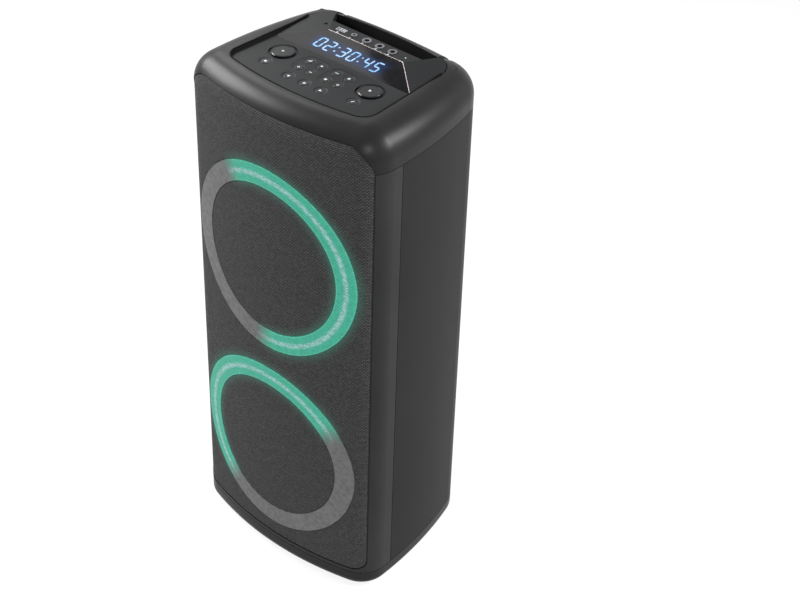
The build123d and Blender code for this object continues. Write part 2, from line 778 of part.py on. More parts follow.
def window_outline(border):
    """Display window on the slope: a trapezoid that keeps `border` inside the slope's edges."""
    side_border = border * hypot(1, bevel_fall)
    low = border
    high = slope_length - border
    with BuildSketch() as outline:
        with BuildLine():
            Polyline(
                (-(flank_start - bevel_fall * low - side_border), low),
                (flank_start - bevel_fall * low - side_border, low),
                (flank_start - bevel_fall * high - side_border, high),
                (-(flank_start - bevel_fall * high - side_border), high),
                close=True,
            )
        make_face()
    return outline.sketch


button_places = {
    "button_side_left": (-dial_x, side_button_y),
    "button_side_right": (dial_x, side_button_y),
    "button_row_1": (-row_x, row_y),
    "button_row_2": (0, row_y),
    "button_row_3": (row_x, row_y),
}
columns = (-pair_x[1], -pair_x[0], pair_x[0], pair_x[1])
for number, (x, y) in enumerate([(x, y) for y in pair_y for x in columns], 1):
    button_places[f"button_grid_{number}"] = (x, y)
dial_places = {"dial_left": (-dial_x, dial_y), "dial_right": (dial_x, dial_y)}
jack_places = [(socket_first_x + socket_pitch * slot, socket_y) for slot in (2, 3, 4)]
usb_place = (socket_first_x, socket_y)
aux_place = (socket_first_x + socket_pitch, socket_y)
dish_sphere_r = bow_radius(button_dish_r, button_dish_depth)
deck_under = deck_z - deck_t
board_top = deck_z - board_drop
post_places = [
    (-post_columns, post_front),
    (0, post_front - button_flange_r),
    (post_columns, post_front),
    (-post_columns, post_back),
    (0, post_back),
    (post_columns, post_back),
]
block_middle = ((pair_x[0] + pair_x[1]) / 2, (pair_y[0] + pair_y[1]) / 2)
block_size = (
    pair_x[1] - pair_x[0] + 2 * (button_dish_r + block_margin),
    pair_y[0] - pair_y[1] + 2 * (button_dish_r + block_margin),
)

with BuildPart() as control_panel:
    with BuildSketch(Plane.XY.offset(deck_under)):
        add(deck_plan(deck_gap))
    extrude(amount=deck_t + wedge_rise)
    with BuildSketch(Plane.YZ):
        with BuildLine():
            Polyline(
                (front_y, deck_z),
                (wedge_start, deck_z),
                (strip_front, strip_z),
                (rear_y, strip_z),
                (rear_y, strip_z + crown_r),
                (front_y, strip_z + crown_r),
                close=True,
            )
        make_face()
    extrude(amount=front_half_width, both=True, mode=Mode.SUBTRACT)
    add(flank_cutter(), mode=Mode.SUBTRACT)
    add(hand_opening(0, seam_z, strip_z + wall), mode=Mode.SUBTRACT)
    with BuildSketch(slope_plane):
        add(window_outline(window_border))
    extrude(amount=-window_t - window_bed, mode=Mode.SUBTRACT)
    with BuildSketch(slope_plane):
        with Locations((0, digits_rise)):
            Rectangle(digits_size[0], digits_size[1])
    extrude(amount=-2 * board_drop, mode=Mode.SUBTRACT)
    with BuildSketch(Plane.XY.offset(deck_z)):
        with Locations((-block_middle[0], block_middle[1]), block_middle):
            RectangleRounded(*block_size, block_corner_r)
    extrude(amount=-block_depth, mode=Mode.SUBTRACT)
    with BuildSketch(Plane.XY.offset(strip_z - dimple_floor)):
        with Locations(dimple_at):
            Circle(dimple_r)
    extrude(amount=dimple_floor, mode=Mode.SUBTRACT)
    with Locations(*[(x, y, deck_z - button_dish_depth + dish_sphere_r) for x, y in button_places.values()]):
        Sphere(dish_sphere_r, mode=Mode.SUBTRACT)
    with BuildSketch(Plane.XY.offset(deck_under)):
        with Locations(*button_places.values()):
            Circle(button_r + button_clearance)
        with Locations(*dial_places.values()):
            Circle(dial_shaft_r + shaft_clearance)
    extrude(amount=deck_t, mode=Mode.SUBTRACT)
    with BuildSketch(Plane.XY.offset(deck_z)):
        with Locations(*dial_places.values()):
            Circle(dial_well_r)
    extrude(amount=-dial_well_depth, mode=Mode.SUBTRACT)
    with BuildSketch(Plane.XY.offset(deck_under)):
        with Locations(usb_place):
            Rectangle(usb_shell[0] + 2 * fit_gap, usb_shell[1] + 2 * fit_gap)
        with Locations(aux_place):
            Circle(aux_nut_r + fit_gap)
        with Locations(*jack_places):
            Circle(jack_nut_r + fit_gap)
    extrude(amount=deck_t + wedge_rise, mode=Mode.SUBTRACT)
    with BuildSketch(Plane.XY.offset(board_top)):
        with Locations(*post_places):
            Circle(post_r)
    extrude(amount=deck_under - board_top)
save(control_panel.part, "control_panel")

with BuildPart() as display_window:
    with BuildSketch(slope_plane):
        add(window_outline(window_border + fit_gap / 2))
    extrude(amount=-window_t)
save(display_window.part, "display_window")

with BuildPart() as display_board:
    with BuildSketch(slope_plane.offset(-window_t - window_bed)):
        with Locations((0, digits_rise)):
            Rectangle(digits_size[0] - 2 * fit_gap, digits_size[1] - 2 * fit_gap)
    extrude(amount=-board_drop)
    split(bisect_by=Plane.XY.offset(deck_under - board_t), keep=Keep.TOP)
    with BuildSketch(Plane.XY.offset(deck_under - board_t)):
        with Locations((0, wedge_start + digits_rise)):
            Rectangle(digits_size[0] + 2 * post_r, digits_size[1] + 2 * post_r)
    extrude(amount=board_t)
save(display_board.part, "display_board")

flange_top = deck_under - fit_gap
flange_low = flange_top - button_flange_t
switch_top = board_top + switch_height
stem_low = switch_top + button_travel + fit_gap / 2
button_top = deck_z - button_dish_depth + button_proud

for name, place in button_places.items():
    with BuildPart() as button:
        for radius, low, high in (
            (button_stem_r, stem_low, flange_low),
            (button_flange_r, flange_low, flange_top),
            (button_r, flange_top, button_top),
        ):
            with BuildSketch(Plane.XY.offset(low)):
                with Locations(place):
                    Circle(radius)
            extrude(amount=high - low)
        fillet(button.edges().group_by(Axis.Z)[-1], button_edge)
    save(button.part, name)

for name, place in dial_places.items():
    with BuildPart() as dial:
        with BuildSketch(Plane.XY.offset(deck_z - dial_well_depth + fit_gap)):
            with Locations(place):
                Circle(dial_r)
        extrude(amount=dial_well_depth - fit_gap + dial_proud)
        chamfer(dial.edges().group_by(Axis.Z)[-1], dial_edge)
        with BuildSketch(Plane.XY.offset(deck_z + dial_proud)):
            with Locations(place):
                Circle(dial_r - 2 * dial_edge)
        extrude(amount=-dial_dish, mode=Mode.SUBTRACT)
        with BuildSketch(Plane.XY.offset(board_top + encoder_height + fit_gap)):
            with Locations(place):
                Circle(dial_shaft_r)
        extrude(amount=deck_z - dial_well_depth + fit_gap - board_top - encoder_height - fit_gap)
    save(dial.part, name)

with BuildPart() as control_board:
    with BuildSketch(Plane.XY.offset(board_top - board_t)):
        with Locations((0, (post_places[0][1] + post_places[3][1]) / 2)):
            Rectangle(2 * post_places[2][0] + 4 * post_r, post_places[3][1] - post_places[1][1] + 4 * post_r)
    extrude(amount=board_t)
    with BuildSketch(Plane.XY.offset(board_top)):
        with Locations(*button_places.values()):
            Rectangle(switch_size, switch_size)
    extrude(amount=switch_height)
    with BuildSketch(Plane.XY.offset(board_top)):
        with Locations(*dial_places.values()):
            Rectangle(encoder_size, encoder_size)
    extrude(amount=encoder_height)
save(control_board.part, "control_board")

# ==== sockets, handle ============================================================================

with BuildPart() as usb_socket:
    with BuildSketch(Plane.XY.offset(strip_z - usb_depth)):
        with Locations(usb_place):
            Rectangle(*usb_shell)
    extrude(amount=usb_depth)
    with BuildSketch(Plane.XY.offset(strip_z)):
        with Locations(usb_place):
            Rectangle(*usb_slot)
    extrude(amount=socket_floor - usb_depth, mode=Mode.SUBTRACT)
    with BuildSketch(Plane.XY.offset(strip_z - usb_depth)):
        with Locations((usb_place[0], usb_place[1] + usb_tongue_shift)):
            Rectangle(*usb_tongue)
    extrude(amount=usb_depth - socket_floor)
save(usb_socket.part, "usb_socket")

with BuildPart() as aux_socket:
    with BuildSketch(Plane.XY.offset(strip_z - jack_depth)):
        with Locations(aux_place):
            Circle(aux_nut_r)
    extrude(amount=jack_depth + nut_proud)
    with BuildSketch(Plane.XY.offset(strip_z + nut_proud)):
        with Locations(aux_place):
            Circle(aux_bore_r)
    extrude(amount=socket_floor - jack_depth, mode=Mode.SUBTRACT)
save(aux_socket.part, "aux_socket")

with BuildPart() as jack_sockets:
    with BuildSketch(Plane.XY.offset(strip_z - jack_depth)):
        with Locations(*jack_places):
            Circle(jack_nut_r)
    extrude(amount=jack_depth + nut_proud)
    with BuildSketch(Plane.XY.offset(strip_z + nut_proud)):
        with Locations(*jack_places):
            Circle(jack_bore_r)
    extrude(amount=socket_floor - jack_depth, mode=Mode.SUBTRACT)
save(jack_sockets.part, "jack_sockets")

with BuildPart() as hand_cup:
    add(hand_opening(recess_wall, rim_z - recess_depth - recess_wall, deck_under - fit_gap))
    add(hand_opening(0, rim_z - recess_depth, rim_z), mode=Mode.SUBTRACT)
    with BuildSketch(Plane.XY.offset(shelf_z - fit_gap)):
        Rectangle(2 * front_half_width, 2 * depth)
        add(deck_plan(deck_gap), mode=Mode.SUBTRACT)
    extrude(amount=crown_r, mode=Mode.SUBTRACT)
save(hand_cup.part, "hand_cup")

with BuildPart() as handle_pins:
    with BuildSketch(Plane.YZ.offset(handle_half - pin_grip)):
        with Locations((pin_y, pin_z)):
            Circle(pin_r)
    extrude(amount=2 * pin_grip)
    mirror(about=Plane.YZ)
save(handle_pins.part, "handle_pins")

# ==== rear and inside ============================================================================

with BuildPart() as connection_plate:
    with BuildSketch(Plane.XZ.offset(-plate_y)):
        with Locations((0, plate_z)):
            RectangleRounded(plate_size[0] - 2 * fit_gap, plate_size[1] - 2 * fit_gap, plate_corner_r)
            with GridLocations(*plate_screw_grid, 2, 2):
                Circle(screw_shank_r, mode=Mode.SUBTRACT)
        with Locations((inlet_x, plate_z)):
            Rectangle(*inlet_body, mode=Mode.SUBTRACT)
        with Locations((rocker_x, plate_z)):
            Rectangle(
                rocker_size[0] + 2 * (rocker_gap + switch_wall),
                rocker_size[1] + 2 * (rocker_gap + switch_wall),
                mode=Mode.SUBTRACT,
            )
    extrude(amount=-plate_t)
save(connection_plate.part, "connection_plate")

with BuildPart() as plate_screws:
    with BuildSketch(Plane.XZ.offset(-plate_outer_y)):
        with Locations((0, plate_z)):
            with GridLocations(*plate_screw_grid, 2, 2):
                Circle(screw_head_r)
    extrude(amount=-screw_head_t)
    with BuildSketch(Plane.XZ.offset(-plate_outer_y)):
        with Locations((0, plate_z)):
            with GridLocations(*plate_screw_grid, 2, 2):
                Circle(screw_shank_r)
    extrude(amount=plate_t + wall)
save(plate_screws.part, "plate_screws")

with BuildPart() as ac_inlet:
    with BuildSketch(Plane.XZ.offset(-plate_outer_y)):
        with Locations((inlet_x, plate_z)):
            RectangleRounded(*inlet_face, plate_corner_r)
    extrude(amount=-bezel_t)
    with BuildSketch(Plane.XZ.offset(-plate_outer_y)):
        with Locations((inlet_x, plate_z)):
            Rectangle(*inlet_body)
    extrude(amount=inlet_body_depth)
    with BuildSketch(Plane.XZ.offset(-plate_outer_y - bezel_t)):
        with Locations((inlet_x, plate_z)):
            SlotOverall(*inlet_slot)
    extrude(amount=inlet_slot_depth, mode=Mode.SUBTRACT)
    with BuildSketch(Plane.XZ.offset(-plate_outer_y)):
        with Locations((inlet_x - inlet_pin_pitch / 2, plate_z), (inlet_x + inlet_pin_pitch / 2, plate_z)):
            Circle(inlet_pin_r)
    extrude(amount=inlet_slot_depth)
save(ac_inlet.part, "ac_inlet")

pivot_y = plate_outer_y - rocker_pivot_set
rocker_half = (rocker_size[0] / 2, rocker_size[1] / 2)
rocker_tip_z = rocker_half[1] - rocker_tip_in
rocker_back_z = rocker_half[1] - rocker_back_in

with BuildPart() as switch_body:
    with BuildSketch(Plane.XZ.offset(-plate_outer_y)):
        with Locations((rocker_x, plate_z)):
            Rectangle(
                rocker_size[0] + 2 * (rocker_gap + switch_wall + bezel_rim),
                rocker_size[1] + 2 * (rocker_gap + switch_wall + bezel_rim),
            )
    extrude(amount=-bezel_t)
    with BuildSketch(Plane.XZ.offset(-plate_outer_y)):
        with Locations((rocker_x, plate_z)):
            Rectangle(
                rocker_size[0] + 2 * (rocker_gap + switch_wall),
                rocker_size[1] + 2 * (rocker_gap + switch_wall),
            )
    extrude(amount=switch_depth)
    with BuildSketch(Plane.XZ.offset(-plate_outer_y - bezel_t)):
        with Locations((rocker_x, plate_z)):
            Rectangle(rocker_size[0] + 2 * rocker_gap, rocker_size[1] + 2 * rocker_gap)
    extrude(amount=switch_depth - switch_wall, mode=Mode.SUBTRACT)
    with BuildSketch(Plane.YZ.offset(rocker_x - rocker_half[0] - rocker_pin)):
        with Locations((pivot_y, plate_z)):
            Circle(rocker_pin_r + shaft_clearance)
    extrude(amount=rocker_size[0] + 2 * rocker_pin, mode=Mode.SUBTRACT)
save(switch_body.part, "switch_body")

rocker_plane = Plane(
    (rocker_x - rocker_half[0], pivot_y, plate_z),
    x_dir=(0, cos(radians(rocker_tilt)), sin(radians(rocker_tilt))),
    z_dir=(1, 0, 0),
)

with BuildPart() as power_rocker:
    with BuildSketch(rocker_plane):
        with BuildLine():
            Polyline(
                (rocker_face, 0),
                (rocker_tip, rocker_tip_z),
                (-rocker_back, rocker_back_z),
                (-rocker_keel, 0),
                (-rocker_back, -rocker_back_z),
                (rocker_tip, -rocker_tip_z),
                close=True,
            )
        make_face()
    extrude(amount=rocker_size[0])
    with BuildSketch(rocker_plane.offset(-rocker_pin + fit_gap)):
        Circle(rocker_pin_r)
    extrude(amount=rocker_size[0] + 2 * (rocker_pin - fit_gap))
save(power_rocker.part, "power_rocker")

with BuildPart() as port_tube:
    with BuildSketch(Plane.XY.offset(port_z)):
        flare_y = port_seat_y + port_flange_t + port_proud
        with BuildLine():
            ThreePointArc(
                (port_r, flare_y - port_flare),
                (port_r + port_flare * (1 - cos(radians(45))), flare_y - port_flare * (1 - sin(radians(45)))),
                (port_r + port_flare, flare_y),
            )
            Polyline(
                (port_r + port_flare, flare_y),
                (port_rim_r, flare_y),
                (port_rim_r, port_seat_y),
                (port_flange_r, port_seat_y),
                (port_flange_r, port_seat_y - port_flange_t),
                (port_r + port_flare, port_seat_y - port_flange_t),
                (port_r + port_wall, port_seat_y - 2 * port_flare),
                (port_r + port_wall, flare_y - port_length),
                (port_r, flare_y - port_length),
                (port_r, flare_y - port_flare),
            )
        make_face()
    revolve(axis=Axis((0, 0, port_z), (0, 1, 0)))
save(port_tube.part, "port_tube")

with BuildPart() as amplifier_board:
    with BuildSketch(Plane.XZ.offset(-amp_y)):
        with Locations((0, amp_z)):
            Rectangle(*amp_size)
    extrude(amount=board_t)
    with BuildSketch(Plane.XZ.offset(-amp_y + board_t)):
        with Locations((0, amp_z)):
            Rectangle(*heatsink_size)
    extrude(amount=wall)
    with BuildSketch(Plane.XZ.offset(-amp_y + board_t + wall)):
        with Locations((0, amp_z)):
            with GridLocations(heatsink_size[0] / heatsink_fins, 0, heatsink_fins, 1):
                Rectangle(heatsink_size[0] / heatsink_fins / 3, heatsink_size[1])
    extrude(amount=4 * wall)
save(amplifier_board.part, "amplifier_board")

floor_z = foot_height + wall

with BuildPart() as power_supply:
    with BuildSketch(Plane.XY.offset(floor_z)):
        with Locations((inside_x, inside_y)):
            RectangleRounded(supply_size[0], supply_size[1], plate_corner_r)
    extrude(amount=supply_size[2])
save(power_supply.part, "power_supply")

with BuildPart() as battery_pack:
    with BuildSketch(Plane.XY.offset(floor_z)):
        with Locations((-inside_x, inside_y)):
            RectangleRounded(battery_size[0], battery_size[1], plate_corner_r)
    extrude(amount=battery_size[2])
save(battery_pack.part, "battery_pack")

with BuildPart() as feet:
    with BuildSketch():
        with Locations(*foot_places):
            Circle(foot_r - fit_gap)
    extrude(amount=foot_height + foot_socket)
save(feet.part, "feet")
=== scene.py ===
"""Party speaker: cloth, light rings, clock, key marks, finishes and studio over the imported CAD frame."""

import json
import math

import bmesh
import bpy
import numpy as np
from mathutils import Matrix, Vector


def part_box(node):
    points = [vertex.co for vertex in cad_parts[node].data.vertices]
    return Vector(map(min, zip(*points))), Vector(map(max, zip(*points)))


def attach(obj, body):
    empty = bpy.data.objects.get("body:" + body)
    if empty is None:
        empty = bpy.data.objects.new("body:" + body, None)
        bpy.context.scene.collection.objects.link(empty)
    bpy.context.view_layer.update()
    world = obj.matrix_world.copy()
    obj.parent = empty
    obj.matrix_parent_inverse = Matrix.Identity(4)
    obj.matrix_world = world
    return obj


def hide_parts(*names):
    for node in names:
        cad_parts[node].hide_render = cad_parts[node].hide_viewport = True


bl_info = {
    "name": "Party Speaker",
    "version": (1, 0, 0),
    "blender": (4, 5, 0),
    "location": "3D View > Sidebar > Speaker",
    "description": "Dresses the tower speaker: woven grille, glowing rings, clock, key marks and finishes",
    "category": "Object",
}

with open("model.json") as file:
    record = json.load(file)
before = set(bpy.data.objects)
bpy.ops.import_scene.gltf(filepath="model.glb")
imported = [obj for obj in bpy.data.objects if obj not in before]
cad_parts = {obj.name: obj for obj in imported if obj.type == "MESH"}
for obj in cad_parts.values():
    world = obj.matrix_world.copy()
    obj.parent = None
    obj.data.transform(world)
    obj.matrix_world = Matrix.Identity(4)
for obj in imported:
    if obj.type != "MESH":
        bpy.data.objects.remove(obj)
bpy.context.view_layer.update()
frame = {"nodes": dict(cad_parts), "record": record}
NODES = frame["nodes"]

# Sizes shared by several pieces, in metres, as the cabinet is drawn in the CAD.
FRONT_Y = -0.1265
FRONT_HALF = 0.1525
REAR_HALF = 0.1255
CORNER_DEPTH = 0.217
FRONT_BOW = 0.0265
SIDE_BOW = 0.0105
CORNER_R = 0.040
CROWN_R = 0.036
RIM_Z = 0.701
CLOTH_SET = 0.0005
CLOTH_T = 0.0008
ROLL_WIDTH = 0.0015
ROLL_DEPTH = 0.0003
EDGE_STEPS = np.array([0.0, 0.0004, 0.0008])
SEAM_HALF = 0.002
GRILLE_HALF = 0.1445
GRILLE_LOW = 0.033
GRILLE_TOP = 0.683
GRILLE_TOP_R = 0.034
GRILLE_LOW_R = 0.014
RING_GAP = 0.0003
DECK_Z = 0.697
SLOPE_START = 0.0055
SLOPE_RUN = 0.044
SLOPE_RISE = 0.007
SLOPE_LENGTH = math.hypot(SLOPE_RUN, SLOPE_RISE)
STRIP_Z = 0.704
STRIP_HALF = 0.0595
FLANK_START = 0.1085
SOCKET_Y = 0.0597
SOCKET_MARK_DROP = 0.0079
DIAL_FLOOR_Z = 0.6983
FIGURE_T = 0.00012
FIGURE_LEAN = 0.09
MARK_T = 0.00006
FLOOR_HALF = 30.0

# The camera: its turn round the speaker, height angle and roll in degrees, then its aim and distance.
CAMERA_TURNS = (40.768, 36.862, 1.334)
CAMERA_AIM = (0.069, 0.0, 0.372)
CAMERA_DISTANCE = 2.225


def ring_place(side):
    """Middle height and outer radius of a light ring, from its CAD box."""
    low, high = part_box(f"light_ring_{side}")
    return (low[2] + high[2]) / 2, (high[0] - low[0]) / 2


UPPER_Z, RING_R = ring_place("upper")
LOWER_Z = ring_place("lower")[0]
RINGS = {"upper": UPPER_Z, "lower": LOWER_Z}
MIDDLE_Z = (UPPER_Z + LOWER_Z) / 2
RING_BAND = RING_R - RING_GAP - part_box("cloth_disc_upper")[1][0]


# ---- meshes -------------------------------------------------------------------------------------


def mesh_piece(name, points, faces, body, finish, smooth=True):
    """One piece from whole arrays of points (n, 3) and faces, in metres, riding on a body."""
    mesh = bpy.data.meshes.new(name)
    mesh.from_pydata(points.tolist(), [], faces)
    mesh.polygons.foreach_set("use_smooth", np.full(len(mesh.polygons), smooth))
    mesh.materials.append(finish)
    mesh.update()
    piece = bpy.data.objects.new(name, mesh)
    bpy.context.scene.collection.objects.link(piece)
    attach(piece, body)
    return piece


def ring_quads(rows, columns, first=0):
    """Quads of a grid of rows by columns whose last column meets its first one."""
    index = first + np.arange(rows * columns).reshape(rows, columns)
    right = np.roll(index, -1, axis=1)
    quads = np.stack([index[:-1], index[1:], right[1:], right[:-1]], axis=-1)
    return quads.reshape(-1, 4)


def arc_radius(half_chord, bow):
    """Radius of an arc from its half chord and its bow."""
    return (half_chord**2 + bow**2) / (2 * bow)


def front_corner():
    """Centre of the circle that rounds the cabinet's right front corner: it touches the front's and the
    side's circles from inside, so it lies where the two circles shrunk by its radius cross."""
    front_r = arc_radius(FRONT_HALF, FRONT_BOW)
    chord = math.hypot(CORNER_DEPTH, FRONT_HALF - REAR_HALF)
    side_r = arc_radius(chord / 2, SIDE_BOW)
    front_centre = np.array([0.0, FRONT_Y + front_r])
    middle = np.array([(FRONT_HALF + REAR_HALF) / 2, FRONT_Y + FRONT_BOW + CORNER_DEPTH / 2])
    side_centre = middle - (side_r - SIDE_BOW) * np.array([CORNER_DEPTH, FRONT_HALF - REAR_HALF]) / chord
    a, b = front_r - CORNER_R, side_r - CORNER_R
    gap = side_centre - front_centre
    distance = math.hypot(*gap)
    along = (a * a - b * b + distance * distance) / (2 * distance)
    across = math.sqrt(a * a - along * along)
    foot = front_centre + gap * along / distance
    turn = np.array([-gap[1], gap[0]]) * across / distance
    return front_r, max(foot + turn, foot - turn, key=lambda crossing: crossing[0])


FRONT_ARC_R, CORNER_AT = front_corner()


def front_depth(x, z, inset):
    """Y of the cabinet's front at x and z, set back by inset. The front is an arc that runs into a rounded
    corner; above the crown's start both shrink by what the crown's quarter circle takes off at z."""
    rise = np.clip(z - (RIM_Z - CROWN_R), 0.0, None)
    shrink = CROWN_R - np.sqrt((CROWN_R - inset) ** 2 - rise**2)
    front = FRONT_Y + FRONT_ARC_R - np.sqrt((FRONT_ARC_R - shrink) ** 2 - x**2)
    beside = np.clip(np.abs(x) - CORNER_AT[0], 0.0, None)
    corner = CORNER_AT[1] - np.sqrt(np.clip((CORNER_R - shrink) ** 2 - beside**2, 1e-8, None))
    meets = CORNER_AT[0] * (FRONT_ARC_R - shrink) / (FRONT_ARC_R - CORNER_R)
    return np.where(np.abs(x) > meets, corner, front)


def outline_reach(turn, centre_z, low, high, round_r):
    """How far a ray at angle turn from (0, centre_z) runs to a rectangle's edge, from z low to high, whose
    corners away from the other ring are rounded by round_r: the nearer of the sides, the ends and, past
    the corner's own centre, the corner's circle."""
    c, s = np.cos(turn), np.sin(turn)
    side = GRILLE_HALF / np.maximum(np.abs(c), 1e-9)
    end = np.where(s > 0, high - centre_z, centre_z - low) / np.maximum(np.abs(s), 1e-9)
    reach = np.minimum(side, end)
    upper = centre_z > MIDDLE_Z
    outward = (s > 0) == upper
    across, up = np.abs(c), np.abs(s)
    cx = GRILLE_HALF - round_r
    cz = (high - centre_z if upper else centre_z - low) - round_r
    dot = across * cx + up * cz
    to_circle = dot + np.sqrt(np.clip(dot**2 - (cx**2 + cz**2 - round_r**2), 0.0, None))
    in_corner = outward & (reach * across > cx) & (reach * up > cz)
    return np.where(in_corner, to_circle, reach)


def edge_roll(from_edge):
    """How far the cloth rolls back: a parabola, from 0 at ROLL_WIDTH inside to ROLL_DEPTH at the edge."""
    return np.clip(1 - from_edge / ROLL_WIDTH, 0.0, 1.0) ** 2 * ROLL_DEPTH


def half_cloth(centre_z, low, high, round_r, turns, rows):
    """Cloth round one ring as a fan of rays: each ray runs from the ring's hole to the grille's outline, with
    its points close together at both edges, where the cloth rolls back."""
    reach = outline_reach(turns, centre_z, low, high, round_r)
    inner = RING_R + RING_GAP
    edge = np.append(EDGE_STEPS, ROLL_WIDTH)
    spread = np.linspace(0.0, 1.0, rows)[:, None]
    span = (reach - inner)[None, :]
    r = np.concatenate([
        inner + edge[:, None] + 0 * span,
        inner + ROLL_WIDTH + spread[1:-1] * (span - 2 * ROLL_WIDTH),
        inner + span - edge[::-1, None],
    ])
    x = r * np.cos(turns)
    z = centre_z + r * np.sin(turns)
    from_edge = np.minimum(r - inner, inner + span - r)
    roll = np.where(np.abs(z - MIDDLE_Z) < SEAM_HALF, 0.0, edge_roll(from_edge))
    y = front_depth(x, z, CLOTH_SET + roll)
    return np.stack([x, y, z], axis=-1)


# ---- node helpers -------------------------------------------------------------------------------


def feed(tree, socket, value):
    """Links an output socket into this one, or else sets its number or colour."""
    if isinstance(value, bpy.types.NodeSocket):
        tree.links.new(value, socket)
    elif socket.type == "RGBA":
        socket.default_value = (*value, 1.0)
    else:
        socket.default_value = value


def maths(tree, operation, first, second=None):
    """Maths node on one or two values, each a number or an output socket; returns its output."""
    made = tree.nodes.new("ShaderNodeMath")
    made.operation = operation
    feed(tree, made.inputs[0], first)
    if second is not None:
        feed(tree, made.inputs[1], second)
    return made.outputs[0]


def ramp(tree, value, low, high, to_low=0.0, to_high=1.0, smooth=True):
    """Value carried from low..high onto to_low..to_high, eased at both ends unless it isn't smooth."""
    made = tree.nodes.new("ShaderNodeMapRange")
    made.interpolation_type = "SMOOTHSTEP" if smooth else "LINEAR"
    for socket, number in zip(made.inputs, (value, low, high, to_low, to_high)):
        feed(tree, socket, number)
    return made.outputs[0]


def mixed(tree, mask, first, second):
    """Colour between first and second by mask; each is a colour or an output socket."""
    made = tree.nodes.new("ShaderNodeMix")
    made.data_type = "RGBA"
    for at, value in ((0, mask), (6, first), (7, second)):
        feed(tree, made.inputs[at], value)
    return made.outputs[2]


def noise(tree, place, scale, detail=2.0, roughness=0.5):
    """Noise of this scale on the given coordinates; returns its value."""
    made = tree.nodes.new("ShaderNodeTexNoise")
    for label, value in (("Vector", place), ("Scale", scale), ("Detail", detail), ("Roughness", roughness)):
        feed(tree, made.inputs[label], value)
    return made.outputs[0]


def parted(tree, place):
    """X, Y and Z of the given coordinates, by name."""
    split = tree.nodes.new("ShaderNodeSeparateXYZ")
    tree.links.new(place, split.inputs[0])
    return split.outputs


def grouped(tree, group, place, **values):
    """Node group on the given coordinates, with its other inputs set by name; returns its outputs."""
    made = tree.nodes.new("ShaderNodeGroup")
    made.node_tree = group
    tree.links.new(place, made.inputs["Place"])
    for label, value in values.items():
        made.inputs[label].default_value = value
    return made.outputs


def effect_group(name, inputs, outputs):
    """Empty node group with named sockets: inputs as (name, kind, default), outputs as (name, kind)."""
    group = bpy.data.node_groups.new(name, "ShaderNodeTree")
    for label, kind, default in inputs:
        socket = group.interface.new_socket(label, in_out="INPUT", socket_type=kind)
        if default is not None:
            socket.default_value = default
    for label, kind in outputs:
        group.interface.new_socket(label, in_out="OUTPUT", socket_type=kind)
    return group, group.nodes.new("NodeGroupInput"), group.nodes.new("NodeGroupOutput")


def moulding_grain():
    """Fine sparkle texture of moulded plastic, a slow drift of tone, and a mask of light rubbing."""
    group, given, out = effect_group(
        "moulding grain",
        [
            ("Place", "NodeSocketVector", None),
            ("Grain", "NodeSocketFloat", 900.0),
            ("Drift", "NodeSocketFloat", 9.0),
        ],
        [("Height", "NodeSocketFloat"), ("Tone", "NodeSocketFloat"), ("Rub", "NodeSocketFloat")],
    )
    grain = noise(group, given.outputs["Place"], given.outputs["Grain"], roughness=0.6)
    drift = noise(group, given.outputs["Place"], given.outputs["Drift"])
    group.links.new(grain, out.inputs["Height"])
    group.links.new(ramp(group, drift, 0.3, 0.7), out.inputs["Tone"])
    group.links.new(ramp(group, maths(group, "MULTIPLY", grain, drift), 0.2, 0.42), out.inputs["Rub"])
    return group


def plain_weave():
    """Woven cloth: rows of short slubs, each row shifted by half a slub, with uneven thread tones."""
    group, given, out = effect_group(
        "plain weave",
        [
            ("Place", "NodeSocketVector", None),
            ("Row", "NodeSocketFloat", 0.0021),
            ("Slub", "NodeSocketFloat", 0.0036),
        ],
        [("Height", "NodeSocketFloat"), ("Thread", "NodeSocketFloat"), ("Tone", "NodeSocketFloat")],
    )
    at = parted(group, given.outputs["Place"])
    row = maths(group, "DIVIDE", at["Z"], given.outputs["Row"])
    slub = maths(group, "DIVIDE", at["X"], given.outputs["Slub"])
    row_number = maths(group, "FLOOR", row)
    shifted = maths(group, "ADD", slub, maths(group, "MULTIPLY", row_number, 0.5))
    across = maths(group, "ABSOLUTE", maths(group, "SINE", maths(group, "MULTIPLY", row, math.pi)))
    along = maths(group, "ABSOLUTE", maths(group, "SINE", maths(group, "MULTIPLY", shifted, math.pi)))
    height = maths(group, "MULTIPLY", across, maths(group, "POWER", along, 0.6))
    group.links.new(height, out.inputs["Height"])
    group.links.new(ramp(group, height, 0.05, 0.85), out.inputs["Thread"])
    cell = group.nodes.new("ShaderNodeCombineXYZ")
    group.links.new(maths(group, "FLOOR", shifted), cell.inputs[0])
    group.links.new(row_number, cell.inputs[2])
    tone = group.nodes.new("ShaderNodeTexWhiteNoise")
    group.links.new(cell.outputs[0], tone.inputs[0])
    group.links.new(tone.outputs[0], out.inputs["Tone"])
    return group


def shaded(name, roughness, metallic=0.0, spec=0.5):
    """New material with a Principled shader: the material, its tree, the shader, the object's coordinates."""
    made = bpy.data.materials.new(name)
    made.use_nodes = True
    tree = made.node_tree
    shader = tree.nodes["Principled BSDF"]
    shader.inputs["Roughness"].default_value = roughness
    shader.inputs["Metallic"].default_value = metallic
    shader.inputs["Specular IOR Level"].default_value = spec
    place = tree.nodes.new("ShaderNodeTexCoord").outputs["Object"]
    return made, tree, shader, place


def bumped(tree, shader, height, strength, distance):
    """Feeds height through a Bump node into the shader's Normal."""
    bump = tree.nodes.new("ShaderNodeBump")
    bump.inputs["Strength"].default_value = strength
    bump.inputs["Distance"].default_value = distance
    tree.links.new(height, bump.inputs["Height"])
    tree.links.new(bump.outputs[0], shader.inputs["Normal"])


